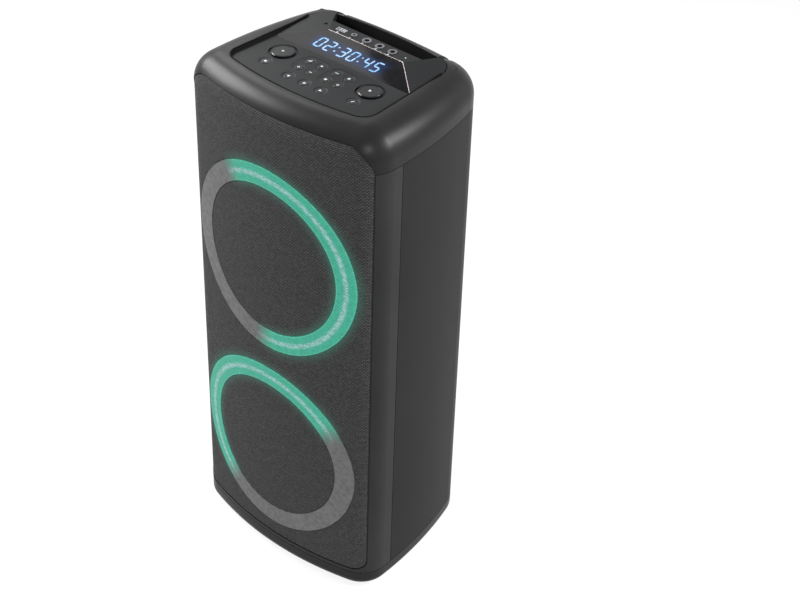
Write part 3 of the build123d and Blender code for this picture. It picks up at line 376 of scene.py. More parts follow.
def moulded(
    name, grain_group, colour, roughness, grain=900.0, depth=0.00004, strength=0.25, metallic=0.0, spec=0.5
):
    """Moulded or coated surface: fine grain, colour drifting by a third, gloss that varies with rubbing."""
    made, tree, shader, place = shaded(name, roughness, metallic, spec)
    effect = grouped(tree, grain_group, place, Grain=grain)
    lighter = tuple(min(1.0, c * 1.35) for c in colour)
    tree.links.new(mixed(tree, effect["Tone"], colour, lighter), shader.inputs["Base Color"])
    dullest = min(1.0, roughness * 1.12)
    gloss = ramp(tree, effect["Rub"], 0.0, 1.0, roughness * 0.9, dullest, smooth=False)
    tree.links.new(gloss, shader.inputs["Roughness"])
    bumped(tree, shader, effect["Height"], strength, depth)
    return made


def ring_mask(tree, place, centre_z):
    """Distance from a ring's centre, and how far across and up from it, seen from the front."""
    at = parted(tree, place)
    up = maths(tree, "SUBTRACT", at["Z"], centre_z)
    squares = maths(tree, "ADD", maths(tree, "POWER", at["X"], 2.0), maths(tree, "POWER", up, 2.0))
    return maths(tree, "SQRT", squares), at["X"], up


def lit_share(tree, across, up, radius, toward, edge_low, edge_high):
    """1 on the lit part of a ring and 0 on the dark part: the cosine of the angle to the direction that the
    light is centred on, eased from edge_low to edge_high."""
    x = maths(tree, "MULTIPLY", across, math.cos(toward))
    z = maths(tree, "MULTIPLY", up, math.sin(toward))
    cosine = maths(tree, "DIVIDE", maths(tree, "ADD", x, z), radius)
    return ramp(tree, cosine, edge_low, edge_high)


# For each ring: the direction that its light is centred on, and the cosines between which it fades.
LIT = {UPPER_Z: (math.radians(13.0), -0.42, -0.12), LOWER_Z: (math.radians(133.0), -0.28, 0.05)}
SPILL_REACH = 0.016


def ring_light(name, weave_group, looks, centre_z):
    """Light guide: glows blue-green round the lit part with a pale line along its middle and a pale rim, and
    is translucent grey elsewhere with a faint painted grey glow; a fine weave breaks its light up."""
    made, tree, shader, place = shaded(name, 0.5, spec=0.2)
    threads = grouped(tree, weave_group, place, Row=looks.cloth_row, Slub=looks.cloth_slub)
    radius, across, up = ring_mask(tree, place, centre_z)
    toward, low, high = LIT[centre_z]
    lit = lit_share(tree, across, up, radius, toward, low, high)
    middle = RING_R - RING_BAND / 2
    off = maths(tree, "ABSOLUTE", maths(tree, "SUBTRACT", radius, middle))
    line = ramp(tree, off, 0.0005, 0.0052, 1.0, 0.0)
    uneven = ramp(tree, threads["Tone"], 0.0, 1.0, 0.45, 0.95, smooth=False)
    line = maths(tree, "MULTIPLY", line, uneven)
    glow = mixed(tree, line, tuple(looks.ring_glow), tuple(looks.ring_line))
    rim = ramp(tree, off, RING_BAND / 2 - 0.0022, RING_BAND / 2 - 0.0006, 0.0, 0.25)
    glow = mixed(tree, rim, glow, (0.2, 0.75, 0.6))
    mottle = noise(tree, place, 160.0)
    grain = maths(tree, "MULTIPLY", threads["Thread"], maths(tree, "ADD", threads["Tone"], 0.4))
    grain = ramp(tree, grain, 0.0, 1.0, 0.68, 1.12, smooth=False)
    grey = mixed(tree, ramp(tree, mottle, 0.3, 0.7), (0.070, 0.070, 0.071), (0.105, 0.105, 0.106))
    tree.links.new(mixed(tree, lit, grey, (0.012, 0.05, 0.038)), shader.inputs["Base Color"])
    # The unlit part of the ring gets a faint grey glow of its own: painted light, not light from the ring's
    # lamps.
    shone = mixed(tree, lit, (0.03, 0.03, 0.031), glow)
    dimmed = tree.nodes.new("ShaderNodeVectorMath")
    dimmed.operation = "SCALE"
    tree.links.new(shone, dimmed.inputs[0])
    tree.links.new(grain, dimmed.inputs["Scale"])
    tree.links.new(dimmed.outputs[0], shader.inputs["Emission Color"])
    shader.inputs["Emission Strength"].default_value = 0.85
    bumped(tree, shader, mottle, 0.12, 0.0002)
    return made


def woven(name, weave_group, looks):
    """Dark woven grille cloth, with the faint spill of the rings' light on the threads beside them."""
    made, tree, shader, place = shaded(name, 0.85, spec=0.25)
    threads = grouped(tree, weave_group, place, Row=looks.cloth_row, Slub=looks.cloth_slub)
    dark = tuple(c * 0.28 for c in looks.cloth_colour)
    light = tuple(min(1.0, c * 1.7) for c in looks.cloth_colour)
    thread = mixed(tree, threads["Tone"], tuple(looks.cloth_colour), light)
    colour = mixed(tree, threads["Thread"], dark, thread)
    tree.links.new(colour, shader.inputs["Base Color"])
    bumped(tree, shader, threads["Height"], 0.7, 0.0006)
    spill = None
    for centre_z, (toward, low, high) in LIT.items():
        radius, across, up = ring_mask(tree, place, centre_z)
        lit = lit_share(tree, across, up, radius, toward, low, high)
        off = maths(tree, "ABSOLUTE", maths(tree, "SUBTRACT", radius, RING_R - RING_BAND / 2))
        fade = ramp(tree, off, RING_BAND / 2, RING_BAND / 2 + SPILL_REACH, 1.0, 0.0, smooth=False)
        near = maths(tree, "POWER", fade, 2.0)
        share = maths(tree, "MULTIPLY", lit, near)
        spill = share if spill is None else maths(tree, "MAXIMUM", spill, share)
    faint = tuple(0.35 * c for c in looks.ring_glow)
    tree.links.new(mixed(tree, spill, (0.0, 0.0, 0.0), faint), shader.inputs["Emission Color"])
    shader.inputs["Emission Strength"].default_value = 0.5
    return made


def clock_window(name, looks):
    """Smoked window: near black and glossy, with a painted blue glow of the figures' light under it."""
    made, tree, shader, place = shaded(name, 0.07, spec=0.04)
    smudge = noise(tree, place, 55.0, detail=3.0)
    tree.links.new(ramp(tree, smudge, 0.35, 0.75, 0.05, 0.11), shader.inputs["Roughness"])
    at = parted(tree, place)
    tint = mixed(tree, ramp(tree, smudge, 0.3, 0.7), (0.004, 0.004, 0.005), (0.007, 0.007, 0.009))
    tree.links.new(tint, shader.inputs["Base Color"])
    # Painted light: a faint blue glow on the window round the figures, fading away from their middle.
    beside = maths(tree, "ABSOLUTE", maths(tree, "SUBTRACT", at["X"], looks.clock_x))
    above = maths(tree, "ABSOLUTE", maths(tree, "SUBTRACT", at["Y"], looks.clock_y))
    painted_glow_across = ramp(tree, beside, looks.clock_width / 2 - 0.002, looks.clock_width / 2 + 0.010, 1.0, 0.0)
    painted_glow_up = ramp(tree, above, 0.006, 0.017, 1.0, 0.0)
    painted_glow = maths(tree, "MULTIPLY", painted_glow_across, painted_glow_up)
    tree.links.new(mixed(tree, painted_glow, (0.0, 0.0, 0.0), (0.0, 0.022, 0.10)), shader.inputs["Emission Color"])
    shader.inputs["Emission Strength"].default_value = 0.7
    return made


# ---- what a user would change -------------------------------------------------------------------


class SpeakerLooks(bpy.types.PropertyGroup):
    """Colours and pitches of the speaker's finishes."""

    cabinet_colour: bpy.props.FloatVectorProperty(
        name="Cabinet", description="Moulded charcoal of cap, shell and plinth", subtype="COLOR", size=3,
        min=0.0, max=1.0, default=(0.009, 0.009, 0.0093))
    deck_colour: bpy.props.FloatVectorProperty(
        name="Deck", description="Satin charcoal of the control deck", subtype="COLOR", size=3,
        min=0.0, max=1.0, default=(0.010, 0.0105, 0.011))
    cloth_colour: bpy.props.FloatVectorProperty(
        name="Cloth", description="Threads of the grille cloth", subtype="COLOR", size=3,
        min=0.0, max=1.0, default=(0.038, 0.038, 0.039))
    ring_glow: bpy.props.FloatVectorProperty(
        name="Ring glow", description="Light of the lit part of each ring", subtype="COLOR", size=3,
        min=0.0, max=1.0, default=(0.045, 0.44, 0.29))
    ring_line: bpy.props.FloatVectorProperty(
        name="Ring line", description="Pale line along the middle of each lit ring", subtype="COLOR", size=3,
        min=0.0, max=1.0, default=(0.42, 0.62, 0.64))
    clock_colour: bpy.props.FloatVectorProperty(
        name="Clock", description="Light of the clock's figures", subtype="COLOR", size=3,
        min=0.0, max=1.0, default=(0.09, 0.38, 0.76))
    mark_colour: bpy.props.FloatVectorProperty(
        name="Marks", description="Printed marks on keys, dials and strip", subtype="COLOR", size=3,
        min=0.0, max=1.0, default=(0.42, 0.50, 0.52))
    cloth_row: bpy.props.FloatProperty(
        name="Row pitch", description="Height of one row of threads", subtype="DISTANCE", default=0.0021)
    cloth_slub: bpy.props.FloatProperty(
        name="Slub length", description="Length of one thread slub", subtype="DISTANCE", default=0.0036)
    clock_x: bpy.props.FloatProperty(
        name="Clock middle", description="Middle of the figures across the deck", subtype="DISTANCE",
        default=-0.0045)
    clock_y: bpy.props.FloatProperty(
        name="Clock depth", description="Middle of the figures from front to back", subtype="DISTANCE",
        default=0.0248)
    clock_width: bpy.props.FloatProperty(
        name="Clock width", description="Width of all the figures", subtype="DISTANCE", default=0.105)
    mark_size: bpy.props.FloatProperty(
        name="Mark size", description="Width of a printed mark with painted glow", subtype="DISTANCE", default=0.0042)
    clock_height: bpy.props.FloatProperty(
        name="Clock height", description="Height of a figure up the slope", subtype="DISTANCE", default=0.020)


# ---- operators ----------------------------------------------------------------------------------


class MouldedFinishes(bpy.types.Operator):
    """Gives every rigid CAD node its moulded, printed, rubber or metal finish."""

    bl_idname = "speaker.moulded_finishes"
    bl_label = "Moulded finishes"

    def execute(self, context):
        looks = context.scene.speaker_looks
        grain = moulding_grain()
        cabinet = tuple(looks.cabinet_colour)
        deck = tuple(looks.deck_colour)
        # The frame plastic is the cabinet's plastic, painted half as light again: painted light standing in
        # for the light that falls on the front corner strips.
        lighter = tuple(1.5 * c for c in cabinet)
        finishes = {
            "cabinet_plastic": moulded("cabinet plastic", grain, cabinet, 0.36, spec=0.13),
            "frame_plastic": moulded("frame plastic painted lighter", grain, lighter, 0.42, spec=0.13),
            "grip_plastic": moulded("grip plastic", grain, cabinet, 0.42, 700.0, spec=0.12),
            "deck_plastic": moulded("deck plastic", grain, deck, 0.36, 1100.0, strength=0.15, spec=0.08),
            "key_plastic": moulded(
                "key plastic", grain, (0.004, 0.004, 0.005), 0.24, 1300.0, strength=0.1, spec=0.25),
            "inner_plastic": moulded("inner plastic", grain, (0.006, 0.006, 0.006), 0.6),
            "circuit_board": moulded("circuit board", grain, (0.006, 0.05, 0.02), 0.45, 400.0),
            "pressed_steel": moulded("pressed steel", grain, (0.10, 0.10, 0.105), 0.4, 500.0, metallic=0.9),
            "magnet": moulded("magnet ferrite", grain, (0.02, 0.02, 0.021), 0.7),
            "cone": moulded("cone paper", grain, (0.02, 0.02, 0.02), 0.8, 260.0, depth=0.0003),
            "rubber": moulded("rubber", grain, (0.012, 0.012, 0.012), 0.72, 600.0),
            "bright_metal": moulded(
                "bright metal", grain, (0.45, 0.45, 0.47), 0.34, 600.0, strength=0.1, metallic=1.0),
            "socket_metal": moulded(
                "socket metal", grain, (0.14, 0.14, 0.15), 0.4, 600.0, strength=0.1, metallic=1.0),
            "baffle_board": moulded("baffle board", grain, (0.05, 0.036, 0.024), 0.75, 300.0),
        }
        matt = moulded("shell plastic", grain, tuple(1.1 * c for c in cabinet), 0.46, spec=0.06)
        for entry in frame["record"]["subparts"]:
            finish = matt if entry["node"] == "rear_shell" else finishes.get(entry["material_slot"])
            if finish is None:
                continue
            for slot in NODES[entry["node"]].material_slots:
                slot.material = finish
        return {"FINISHED"}


class GrilleCloths(bpy.types.Operator):
    """Stretches woven cloth over the grille and over the two discs inside the rings."""

    bl_idname = "speaker.grille_cloths"
    bl_label = "Grille cloths"

    def execute(self, context):
        weave = woven("grille cloth", plain_weave(), context.scene.speaker_looks)
        cloth = self.grille(weave)
        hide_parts("grille_cloth")
        area = flat_area(cloth)
        for side, centre_z in RINGS.items():
            disc = self.disc(side, centre_z, weave)
            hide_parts(f"cloth_disc_{side}")
            flat_area(disc)
        return {"FINISHED"}

    def grille(self, weave):
        """Cloth with a hole for each ring, as two fans of rays that meet halfway between the rings."""
        even = np.linspace(-math.pi, math.pi, 320, endpoint=False)
        bend = math.atan2(MIDDLE_Z - UPPER_Z, GRILLE_HALF)
        turns = np.unique(np.concatenate([even, [bend, -math.pi - bend]]))
        rows = 16
        upper = half_cloth(UPPER_Z, MIDDLE_Z, GRILLE_TOP, GRILLE_TOP_R, turns, rows)
        lower = half_cloth(LOWER_Z, GRILLE_LOW, MIDDLE_Z, GRILLE_LOW_R, -turns[::-1], rows)
        points = np.concatenate([upper.reshape(-1, 3), lower.reshape(-1, 3)])
        count = upper.shape[0] * upper.shape[1]
        quads = np.concatenate([
            ring_quads(*upper.shape[:2]),
            ring_quads(*lower.shape[:2], first=count),
        ])
        faces = quads[:, ::-1].tolist()
        piece = mesh_piece("woven_grille", points, faces, "cabinet", weave)
        weld(piece)
        thicken(piece)
        return piece

    def disc(self, side, centre_z, weave):
        """Round cloth on the bowed front: rings of points round one centre point, its edge rolled back."""
        outer = RING_R - RING_BAND - RING_GAP
        radii = np.concatenate([np.linspace(0.0, outer - ROLL_WIDTH, 16)[1:], outer - EDGE_STEPS[::-1]])
        turns = np.linspace(0.0, 2 * math.pi, 160, endpoint=False)
        x = radii[:, None] * np.cos(turns)
        z = centre_z + radii[:, None] * np.sin(turns)
        roll = edge_roll(outer - radii[:, None])
        grid = np.stack([x, front_depth(x, z, CLOTH_SET + roll), z], axis=-1)
        pole = np.array([[0.0, front_depth(np.array(0.0), np.array(centre_z), CLOTH_SET), centre_z]])
        points = np.concatenate([grid.reshape(-1, 3), pole])
        quads = ring_quads(*grid.shape[:2])[:, ::-1]
        first = np.arange(len(turns))
        fan = np.stack([np.full(len(turns), len(points) - 1), np.roll(first, -1), first], axis=-1)
        faces = quads.tolist() + fan.tolist()
        piece = mesh_piece(f"woven_disc_{side}", points, faces, "cabinet", weave)
        face_front(piece)
        thicken(piece)
        return piece


def weld(piece):
    """Merges points that lie on each other and turns the faces to the front."""
    work = bmesh.new()
    work.from_mesh(piece.data)
    bmesh.ops.remove_doubles(work, verts=work.verts, dist=0.00002)
    work.to_mesh(piece.data)
    work.free()
    face_front(piece)


def face_outward(piece):
    """Turns the faces of a closed shell outwards."""
    work = bmesh.new()
    work.from_mesh(piece.data)
    bmesh.ops.recalc_face_normals(work, faces=work.faces)
    work.to_mesh(piece.data)
    work.free()


def face_front(piece):
    """Turns the faces of an open sheet so that they look towards the front."""
    mesh = piece.data
    normals = np.zeros(len(mesh.polygons) * 3)
    mesh.polygons.foreach_get("normal", normals)
    if normals.reshape(-1, 3)[:, 1].mean() > 0:
        mesh.flip_normals()
    mesh.update()


def thicken(piece):
    """Gives an open sheet its thickness, behind the surface that was drawn."""
    solid = piece.modifiers.new("thickness", "SOLIDIFY")
    solid.thickness = CLOTH_T
    solid.offset = -1.0


def flat_area(piece):
    """Area of the drawn surface, in square metres."""
    areas = np.zeros(len(piece.data.polygons))
    piece.data.polygons.foreach_get("area", areas)
    return float(areas.sum())


class LightRings(bpy.types.Operator):
    """Lights the two ring light guides, each over its own part of the circle."""

    bl_idname = "speaker.light_rings"
    bl_label = "Light rings"

    def execute(self, context):
        looks = context.scene.speaker_looks
        weave_group = bpy.data.node_groups["plain weave"]
        for side, centre_z in RINGS.items():
            finish = ring_light(f"light guide {side}", weave_group, looks, centre_z)
            for slot in NODES[f"light_ring_{side}"].material_slots:
                slot.material = finish
        return {"FINISHED"}


def slope_point(x, up, proud):
    """Points on the display slope, this far up from its foot and standing proud of it."""
    y = SLOPE_START + up * SLOPE_RUN / SLOPE_LENGTH - proud * SLOPE_RISE / SLOPE_LENGTH
    z = DECK_Z + up * SLOPE_RISE / SLOPE_LENGTH + proud * SLOPE_RUN / SLOPE_LENGTH
    return np.stack(np.broadcast_arrays(x, y, z), axis=-1)


def raised(outlines, lift):
    """Flat shapes as thin plates: each outline (corners, 2), anticlockwise, is a prism from 0 to lift. Gives
    back flat points, heights and faces."""
    flat, heights, faces, first = [], [], [], 0
    for outline in outlines:
        corners = len(outline)
        ring = first + np.arange(corners)
        over = ring + corners
        sides = np.stack([ring, np.roll(ring, -1), np.roll(over, -1), over], axis=-1)
        faces += [*sides.tolist(), over.tolist(), ring[::-1].tolist()]
        flat += [outline, outline]
        heights += [np.zeros(corners), np.full(corners, lift)]
        first += 2 * corners
    return np.concatenate(flat), np.concatenate(heights), faces


def turned_bar(x, up, length, stroke, turn=0.0):
    """Bar with pointed ends: six corners about its middle, turned by turn degrees."""
    h, w = length / 2, stroke / 2
    shape = np.array([(-h, 0), (-h + w, -w), (h - w, -w), (h, 0), (h - w, w), (-h + w, w)])
    a = math.radians(turn)
    return shape @ np.array([[math.cos(a), math.sin(a)], [-math.sin(a), math.cos(a)]]) + (x, up)


def round_dot(x, up, r, corners=10):
    """Regular polygon of this many corners about (x, up)."""
    a = np.arange(corners) * 2 * math.pi / corners
    return np.stack([x + r * np.cos(a), up + r * np.sin(a)], axis=-1)


def carried_bead(path, radius, around=8):
    """Closed bead along an open path (n, 3): at each point a circle in the plane square to the path's run,
    with one face over each end. Gives back points and faces."""
    run = np.gradient(path, axis=0)
    run /= np.linalg.norm(run, axis=1)[:, None]
    beside = np.cross(run, (0.0, 0.0, 1.0))
    thin = np.linalg.norm(beside, axis=1) < 1e-3
    beside[thin] = np.cross(run[thin], (0.0, 1.0, 0.0))
    beside /= np.linalg.norm(beside, axis=1)[:, None]
    over = np.cross(beside, run)
    turns = np.arange(around) * 2 * math.pi / around
    rings = path[:, None] + radius * (
        beside[:, None] * np.cos(turns)[None, :, None] + over[:, None] * np.sin(turns)[None, :, None]
    )
    faces = ring_quads(len(path), around).tolist()
    last = (len(path) - 1) * around + np.arange(around)
    return rings.reshape(-1, 3), faces + [np.arange(around)[::-1].tolist(), last.tolist()]


def plan_hull(points):
    """Corners of the convex outline round points (n, 2), anticlockwise from the leftmost."""
    ordered = sorted(map(tuple, np.unique(np.round(points, 5), axis=0)))

    def chain(run):
        kept = []
        for q in run:
            while len(kept) > 1:
                (ax, ay), (bx, by) = kept[-2], kept[-1]
                if (bx - ax) * (q[1] - ay) - (by - ay) * (q[0] - ax) > 0:
                    break
                kept.pop()
            kept.append(q)
        return kept[:-1]

    return np.array(chain(ordered) + chain(ordered[::-1]))


class DeckShadowBead(bpy.types.Operator):
    """Lays a near-black bead in the gap between the cap's rim and the control deck: painted shadow, standing
    in for the shade in that gap.
    """

    bl_idname = "speaker.deck_gasket"
    bl_label = "Deck shadow bead"

    RADIUS = 0.0012
    GAP = 0.0013
    CLEAR = 0.00003
    LOW_Z = 0.7003
    REAR_Y = 0.0635
    CLIMB_RATE = 0.0605

    def execute(self, context):
        points, faces = carried_bead(self.path(), self.RADIUS)
        made, tree, shader, place = shaded("painted shadow black", 0.7, spec=0.05)
        # Near-black tone with a faint random mottle: the colour of the painted shadow in the gap.
        shadow_mottle = ramp(tree, noise(tree, place, 400.0), 0.3, 0.7)
        tone = mixed(tree, shadow_mottle, (0.0008, 0.0008, 0.0008), (0.002, 0.002, 0.002))
        tree.links.new(tone, shader.inputs["Base Color"])
        face_outward(mesh_piece("deck_gasket", points, faces, "cabinet", made))
        return {"FINISHED"}

    def path(self):
        """Evenly spaced points along the middle of the gap, from the deck's rear left corner round its front
        to the rear right one, climbing beside the slope."""
        mesh = NODES["control_panel"].data
        corners = np.zeros(len(mesh.vertices) * 3)
        mesh.vertices.foreach_get("co", corners)
        plan = plan_hull(corners.reshape(-1, 3)[:, :2])
        plan = plan[plan[:, 1] < self.REAR_Y + 0.0002]
        first = np.argmin(plan[:, 0] - plan[:, 1])
        plan = np.roll(plan, -first, axis=0)
        steps = np.concatenate([[0.0], np.cumsum(np.linalg.norm(np.diff(plan, axis=0), axis=1))])
        even = np.linspace(0.0, steps[-1], 160)
        plan = np.stack([np.interp(even, steps, plan[:, 0]), np.interp(even, steps, plan[:, 1])], axis=-1)
        run = np.gradient(plan, axis=0)
        outward = np.stack([run[:, 1], -run[:, 0]], axis=-1) / np.linalg.norm(run, axis=1)[:, None]
        plan += outward * (self.GAP - self.RADIUS - self.CLEAR)
        climb = np.clip(plan[:, 1] - SLOPE_START, 0.0, None) * self.CLIMB_RATE
        z = np.maximum(self.LOW_Z, DECK_Z + climb + self.RADIUS + 0.0001)
        return np.column_stack([plan, z])


class ClockFigures(bpy.types.Operator):
    """Sets the clock's seven-bar figures and colons on the window."""

    bl_idname = "speaker.clock_figures"
    bl_label = "Clock figures"

    FIGURES = "02:30:45"
    LIT_BARS = {"0": "abcdef", "2": "abged", "3": "abgcd", "4": "fgbc", "5": "afgcd"}
    FIGURE_WIDTH = 0.0108
    STROKE = 0.0021
    COLON = 0.0068
    BAR_GAP = 0.0004

    def execute(self, context):
        looks = context.scene.speaker_looks
        flat, heights, faces = raised(self.outlines(looks), FIGURE_T)
        flat[:, 0] += FIGURE_LEAN * flat[:, 1]
        middle = (looks.clock_y - SLOPE_START) * SLOPE_LENGTH / SLOPE_RUN
        points = slope_point(flat[:, 0], middle + flat[:, 1], 0.00002 + heights)
        light = self.light(looks)
        mesh_piece("clock_figures", points, faces, "cabinet", light, smooth=False)
        return {"FINISHED"}

    def light(self, looks):
        """Blue light of the figures, paler in slow patches."""
        made, tree, shader, place = shaded("clock light", 0.3)
        drift = noise(tree, place, 90.0, detail=1.0)
        paler = tuple(min(1.0, 0.25 + 0.8 * c) for c in looks.clock_colour)
        glow = mixed(tree, ramp(tree, drift, 0.35, 0.65), tuple(looks.clock_colour), paler)
        tree.links.new(glow, shader.inputs["Emission Color"])
        shader.inputs["Base Color"].default_value = (0.02, 0.05, 0.1, 1.0)
        shader.inputs["Emission Strength"].default_value = 1.0
        return made

    def outlines(self, looks):
        """Outlines of the lit bars and the colons' dots, side by side, about the figures' middle height."""
        tall, stroke = looks.clock_height, self.STROKE
        pitch = (looks.clock_width - 2 * self.COLON) / 6
        half = tall / 2 - stroke / 2
        side = self.FIGURE_WIDTH / 2 - stroke / 2
        bar_at = {
            "a": (0.0, half, 0.0), "g": (0.0, 0.0, 0.0), "d": (0.0, -half, 0.0),
            "f": (-side, half / 2, 90.0), "b": (side, half / 2, 90.0),
            "e": (-side, -half / 2, 90.0), "c": (side, -half / 2, 90.0),
        }
        outlines = []
        start = looks.clock_x - looks.clock_width / 2
        for figure in self.FIGURES:
            if figure == ":":
                for rise in (-0.22, 0.22):
                    outlines.append(round_dot(start + self.COLON / 2, rise * tall, stroke * 0.62))
                start += self.COLON
                continue
            for letter in self.LIT_BARS[figure]:
                across, up, turn = bar_at[letter]
                length = (2 * side if turn == 0.0 else half) - self.BAR_GAP
                outlines.append(turned_bar(start + pitch / 2 + across, up, length, stroke, turn))
            start += pitch
        return outlines


class ClockWindow(bpy.types.Operator):
    """Smokes the clock's window and lays a fine pale bead along its upper edge and right bevel: a painted
    highlight of those edges.
    """

    bl_idname = "speaker.clock_window"
    bl_label = "Clock window"

    def execute(self, context):
        finish = clock_window("smoked window", context.scene.speaker_looks)
        for slot in NODES["display_window"].material_slots:
            slot.material = finish
        corner = slope_point(STRIP_HALF, SLOPE_LENGTH, 0.0)
        foot = slope_point(FLANK_START, 0.0, 0.0)
        left = slope_point(-STRIP_HALF, SLOPE_LENGTH, 0.0)
        share = np.linspace(0.0, 1.0, 24)[:, None]
        path = np.concatenate([left + share * (corner - left), corner + share[1:] * (foot - corner)])
        points, faces = carried_bead(path, 0.0004)
        # Pale pinkish grey bead: painted highlight on the window's upper edge and right bevel.
        made, tree, shader, place = shaded("painted edge highlight", 0.32, metallic=0.6)
        drift = noise(tree, place, 60.0)
        tone = mixed(tree, ramp(tree, drift, 0.3, 0.7), (0.30, 0.25, 0.24), (0.44, 0.38, 0.37))
        tree.links.new(tone, shader.inputs["Base Color"])
        bead = mesh_piece("window_edge_highlight", points, faces, "cabinet", made)
        face_outward(bead)
        return {"FINISHED"}


class KeyMarks(bpy.types.Operator):
    """Prints a plain mark on every key, dial and socket; each key's and dial's mark moves with it."""

    bl_idname = "speaker.key_marks"
    bl_label = "Key marks"

    ON_CONTROLS = {
        "button_side_left": "stop", "button_side_right": "slash",
        "button_row_1": "back", "button_row_2": "twin", "button_row_3": "arrow",
        "button_grid_1": "steps", "button_grid_2": "disc", "button_grid_3": "dots", "button_grid_4": "twin",
        "button_grid_5": "plus", "button_grid_6": "minus", "button_grid_7": "stop", "button_grid_8": "plus",
        "dial_left": "plus", "dial_right": "arrow",
    }
    ON_STRIP = {
        "usb": (-0.0474, "twin"), "aux": (-0.027, "dots"), "jack_1": (-0.0066, "plus"),
        "jack_2": (0.0138, "steps"), "jack_3": (0.0342, "arrow"), "lamp": (0.0547, "lamp"),
    }

    def execute(self, context):
        looks = context.scene.speaker_looks
        made, tree, shader, place = shaded("printed mark with painted glow", 0.5)
        wear = noise(tree, place, 900.0, detail=3.0)
        pale = tuple(looks.mark_colour)
        dull = tuple(0.72 * c for c in pale)
        tone = mixed(tree, ramp(tree, wear, 0.25, 0.6), dull, pale)
        tree.links.new(tone, shader.inputs["Base Color"])
        # The marks also glow faintly in their own colour: painted light that brightens the print.
        tree.links.new(tone, shader.inputs["Emission Color"])
        shader.inputs["Emission Strength"].default_value = 0.2
        shapes = self.mark_shapes(looks.mark_size)
        for name, shape in self.ON_CONTROLS.items():
            low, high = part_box(name)
            top = DIAL_FLOOR_Z if name.startswith("dial") else high[2]
            self.mark(name, shapes[shape], (low[0] + high[0]) / 2, (low[1] + high[1]) / 2, top, made, name)
        for name, (x, shape) in self.ON_STRIP.items():
            y = SOCKET_Y if name == "lamp" else SOCKET_Y - SOCKET_MARK_DROP
            smaller = [outline * 0.75 for outline in shapes[shape]]
            self.mark(f"strip_{name}", smaller, x, y, STRIP_Z, made, "cabinet")
        return {"FINISHED"}

    def mark_shapes(self, size):
        """Outlines of the plain marks, about their middle, for marks of this width."""
        stroke = size * 0.26
        arrow = np.array([(-0.4, -0.5), (0.5, 0.0), (-0.4, 0.5)]) * size
        upright = [turned_bar(x * size, 0, size, stroke, 90.0) for x in (-0.22, 0.22)]
        growing = enumerate((-0.35, 0.0, 0.35))
        return {
            "arrow": [arrow],
            "back": [arrow[::-1] * (-1, 1)],
            "stop": [np.array([(-0.38, -0.38), (0.38, -0.38), (0.38, 0.38), (-0.38, 0.38)]) * size],
            "plus": [turned_bar(0, 0, size, stroke), turned_bar(0, 0, size, stroke, 90.0)],
            "minus": [turned_bar(0, 0, size, stroke)],
            "twin": upright,
            "dots": [round_dot(x * size, 0, stroke * 0.6) for x in (-0.4, 0.0, 0.4)],
            "slash": [turned_bar(0, 0, 1.1 * size, stroke, 55.0)],
            "disc": [round_dot(0, 0, 0.36 * size)],
            "lamp": [round_dot(0, 0, 0.3 * size)],
            "steps": [
                turned_bar(x * size, (0.25 * n - 0.25) * size, (0.4 + 0.35 * n) * size, stroke, 90.0)
                for n, x in growing
            ],
        }

    def mark(self, name, shape, x, y, top, finish, body):
        """Thin printed plate of one or more outlines on a flat top."""
        flat, heights, faces = raised(shape, MARK_T)
        points = np.stack([x + flat[:, 0], y + flat[:, 1], top + 0.00001 + heights], axis=-1)
        mesh_piece(f"mark_{name}", points, faces, body, finish, smooth=False)


def facing(right, back, place):
    """Matrix of an object at place whose own x runs right and whose own z runs back."""
    turned = np.eye(4)
    turned[:3] = np.stack([right, np.cross(back, right), back, place], axis=1)
    return Matrix(turned.tolist())


def studio_frame():
    """Camera's matrix, from its turns, its aim and its distance."""
    around, above, roll = np.radians(CAMERA_TURNS)
    reach = math.cos(above)
    back = np.array([math.sin(around) * reach, -math.cos(around) * reach, math.sin(above)])
    level = np.array([math.cos(around), math.sin(around), 0.0])
    upright = np.cross(back, level)
    right = level * math.cos(roll) + upright * math.sin(roll)
    return facing(right, back, np.array(CAMERA_AIM) + CAMERA_DISTANCE * back)


def seen_white(tree):
    """1 for the rays that meet a white surround: the camera's own, and those off gloss or through glass."""
    path = tree.nodes.new("ShaderNodeLightPath")
    seen = maths(tree, "MAXIMUM", path.outputs["Is Camera Ray"], path.outputs["Is Transmission Ray"])
    return maths(tree, "MAXIMUM", seen, path.outputs["Is Glossy Ray"])


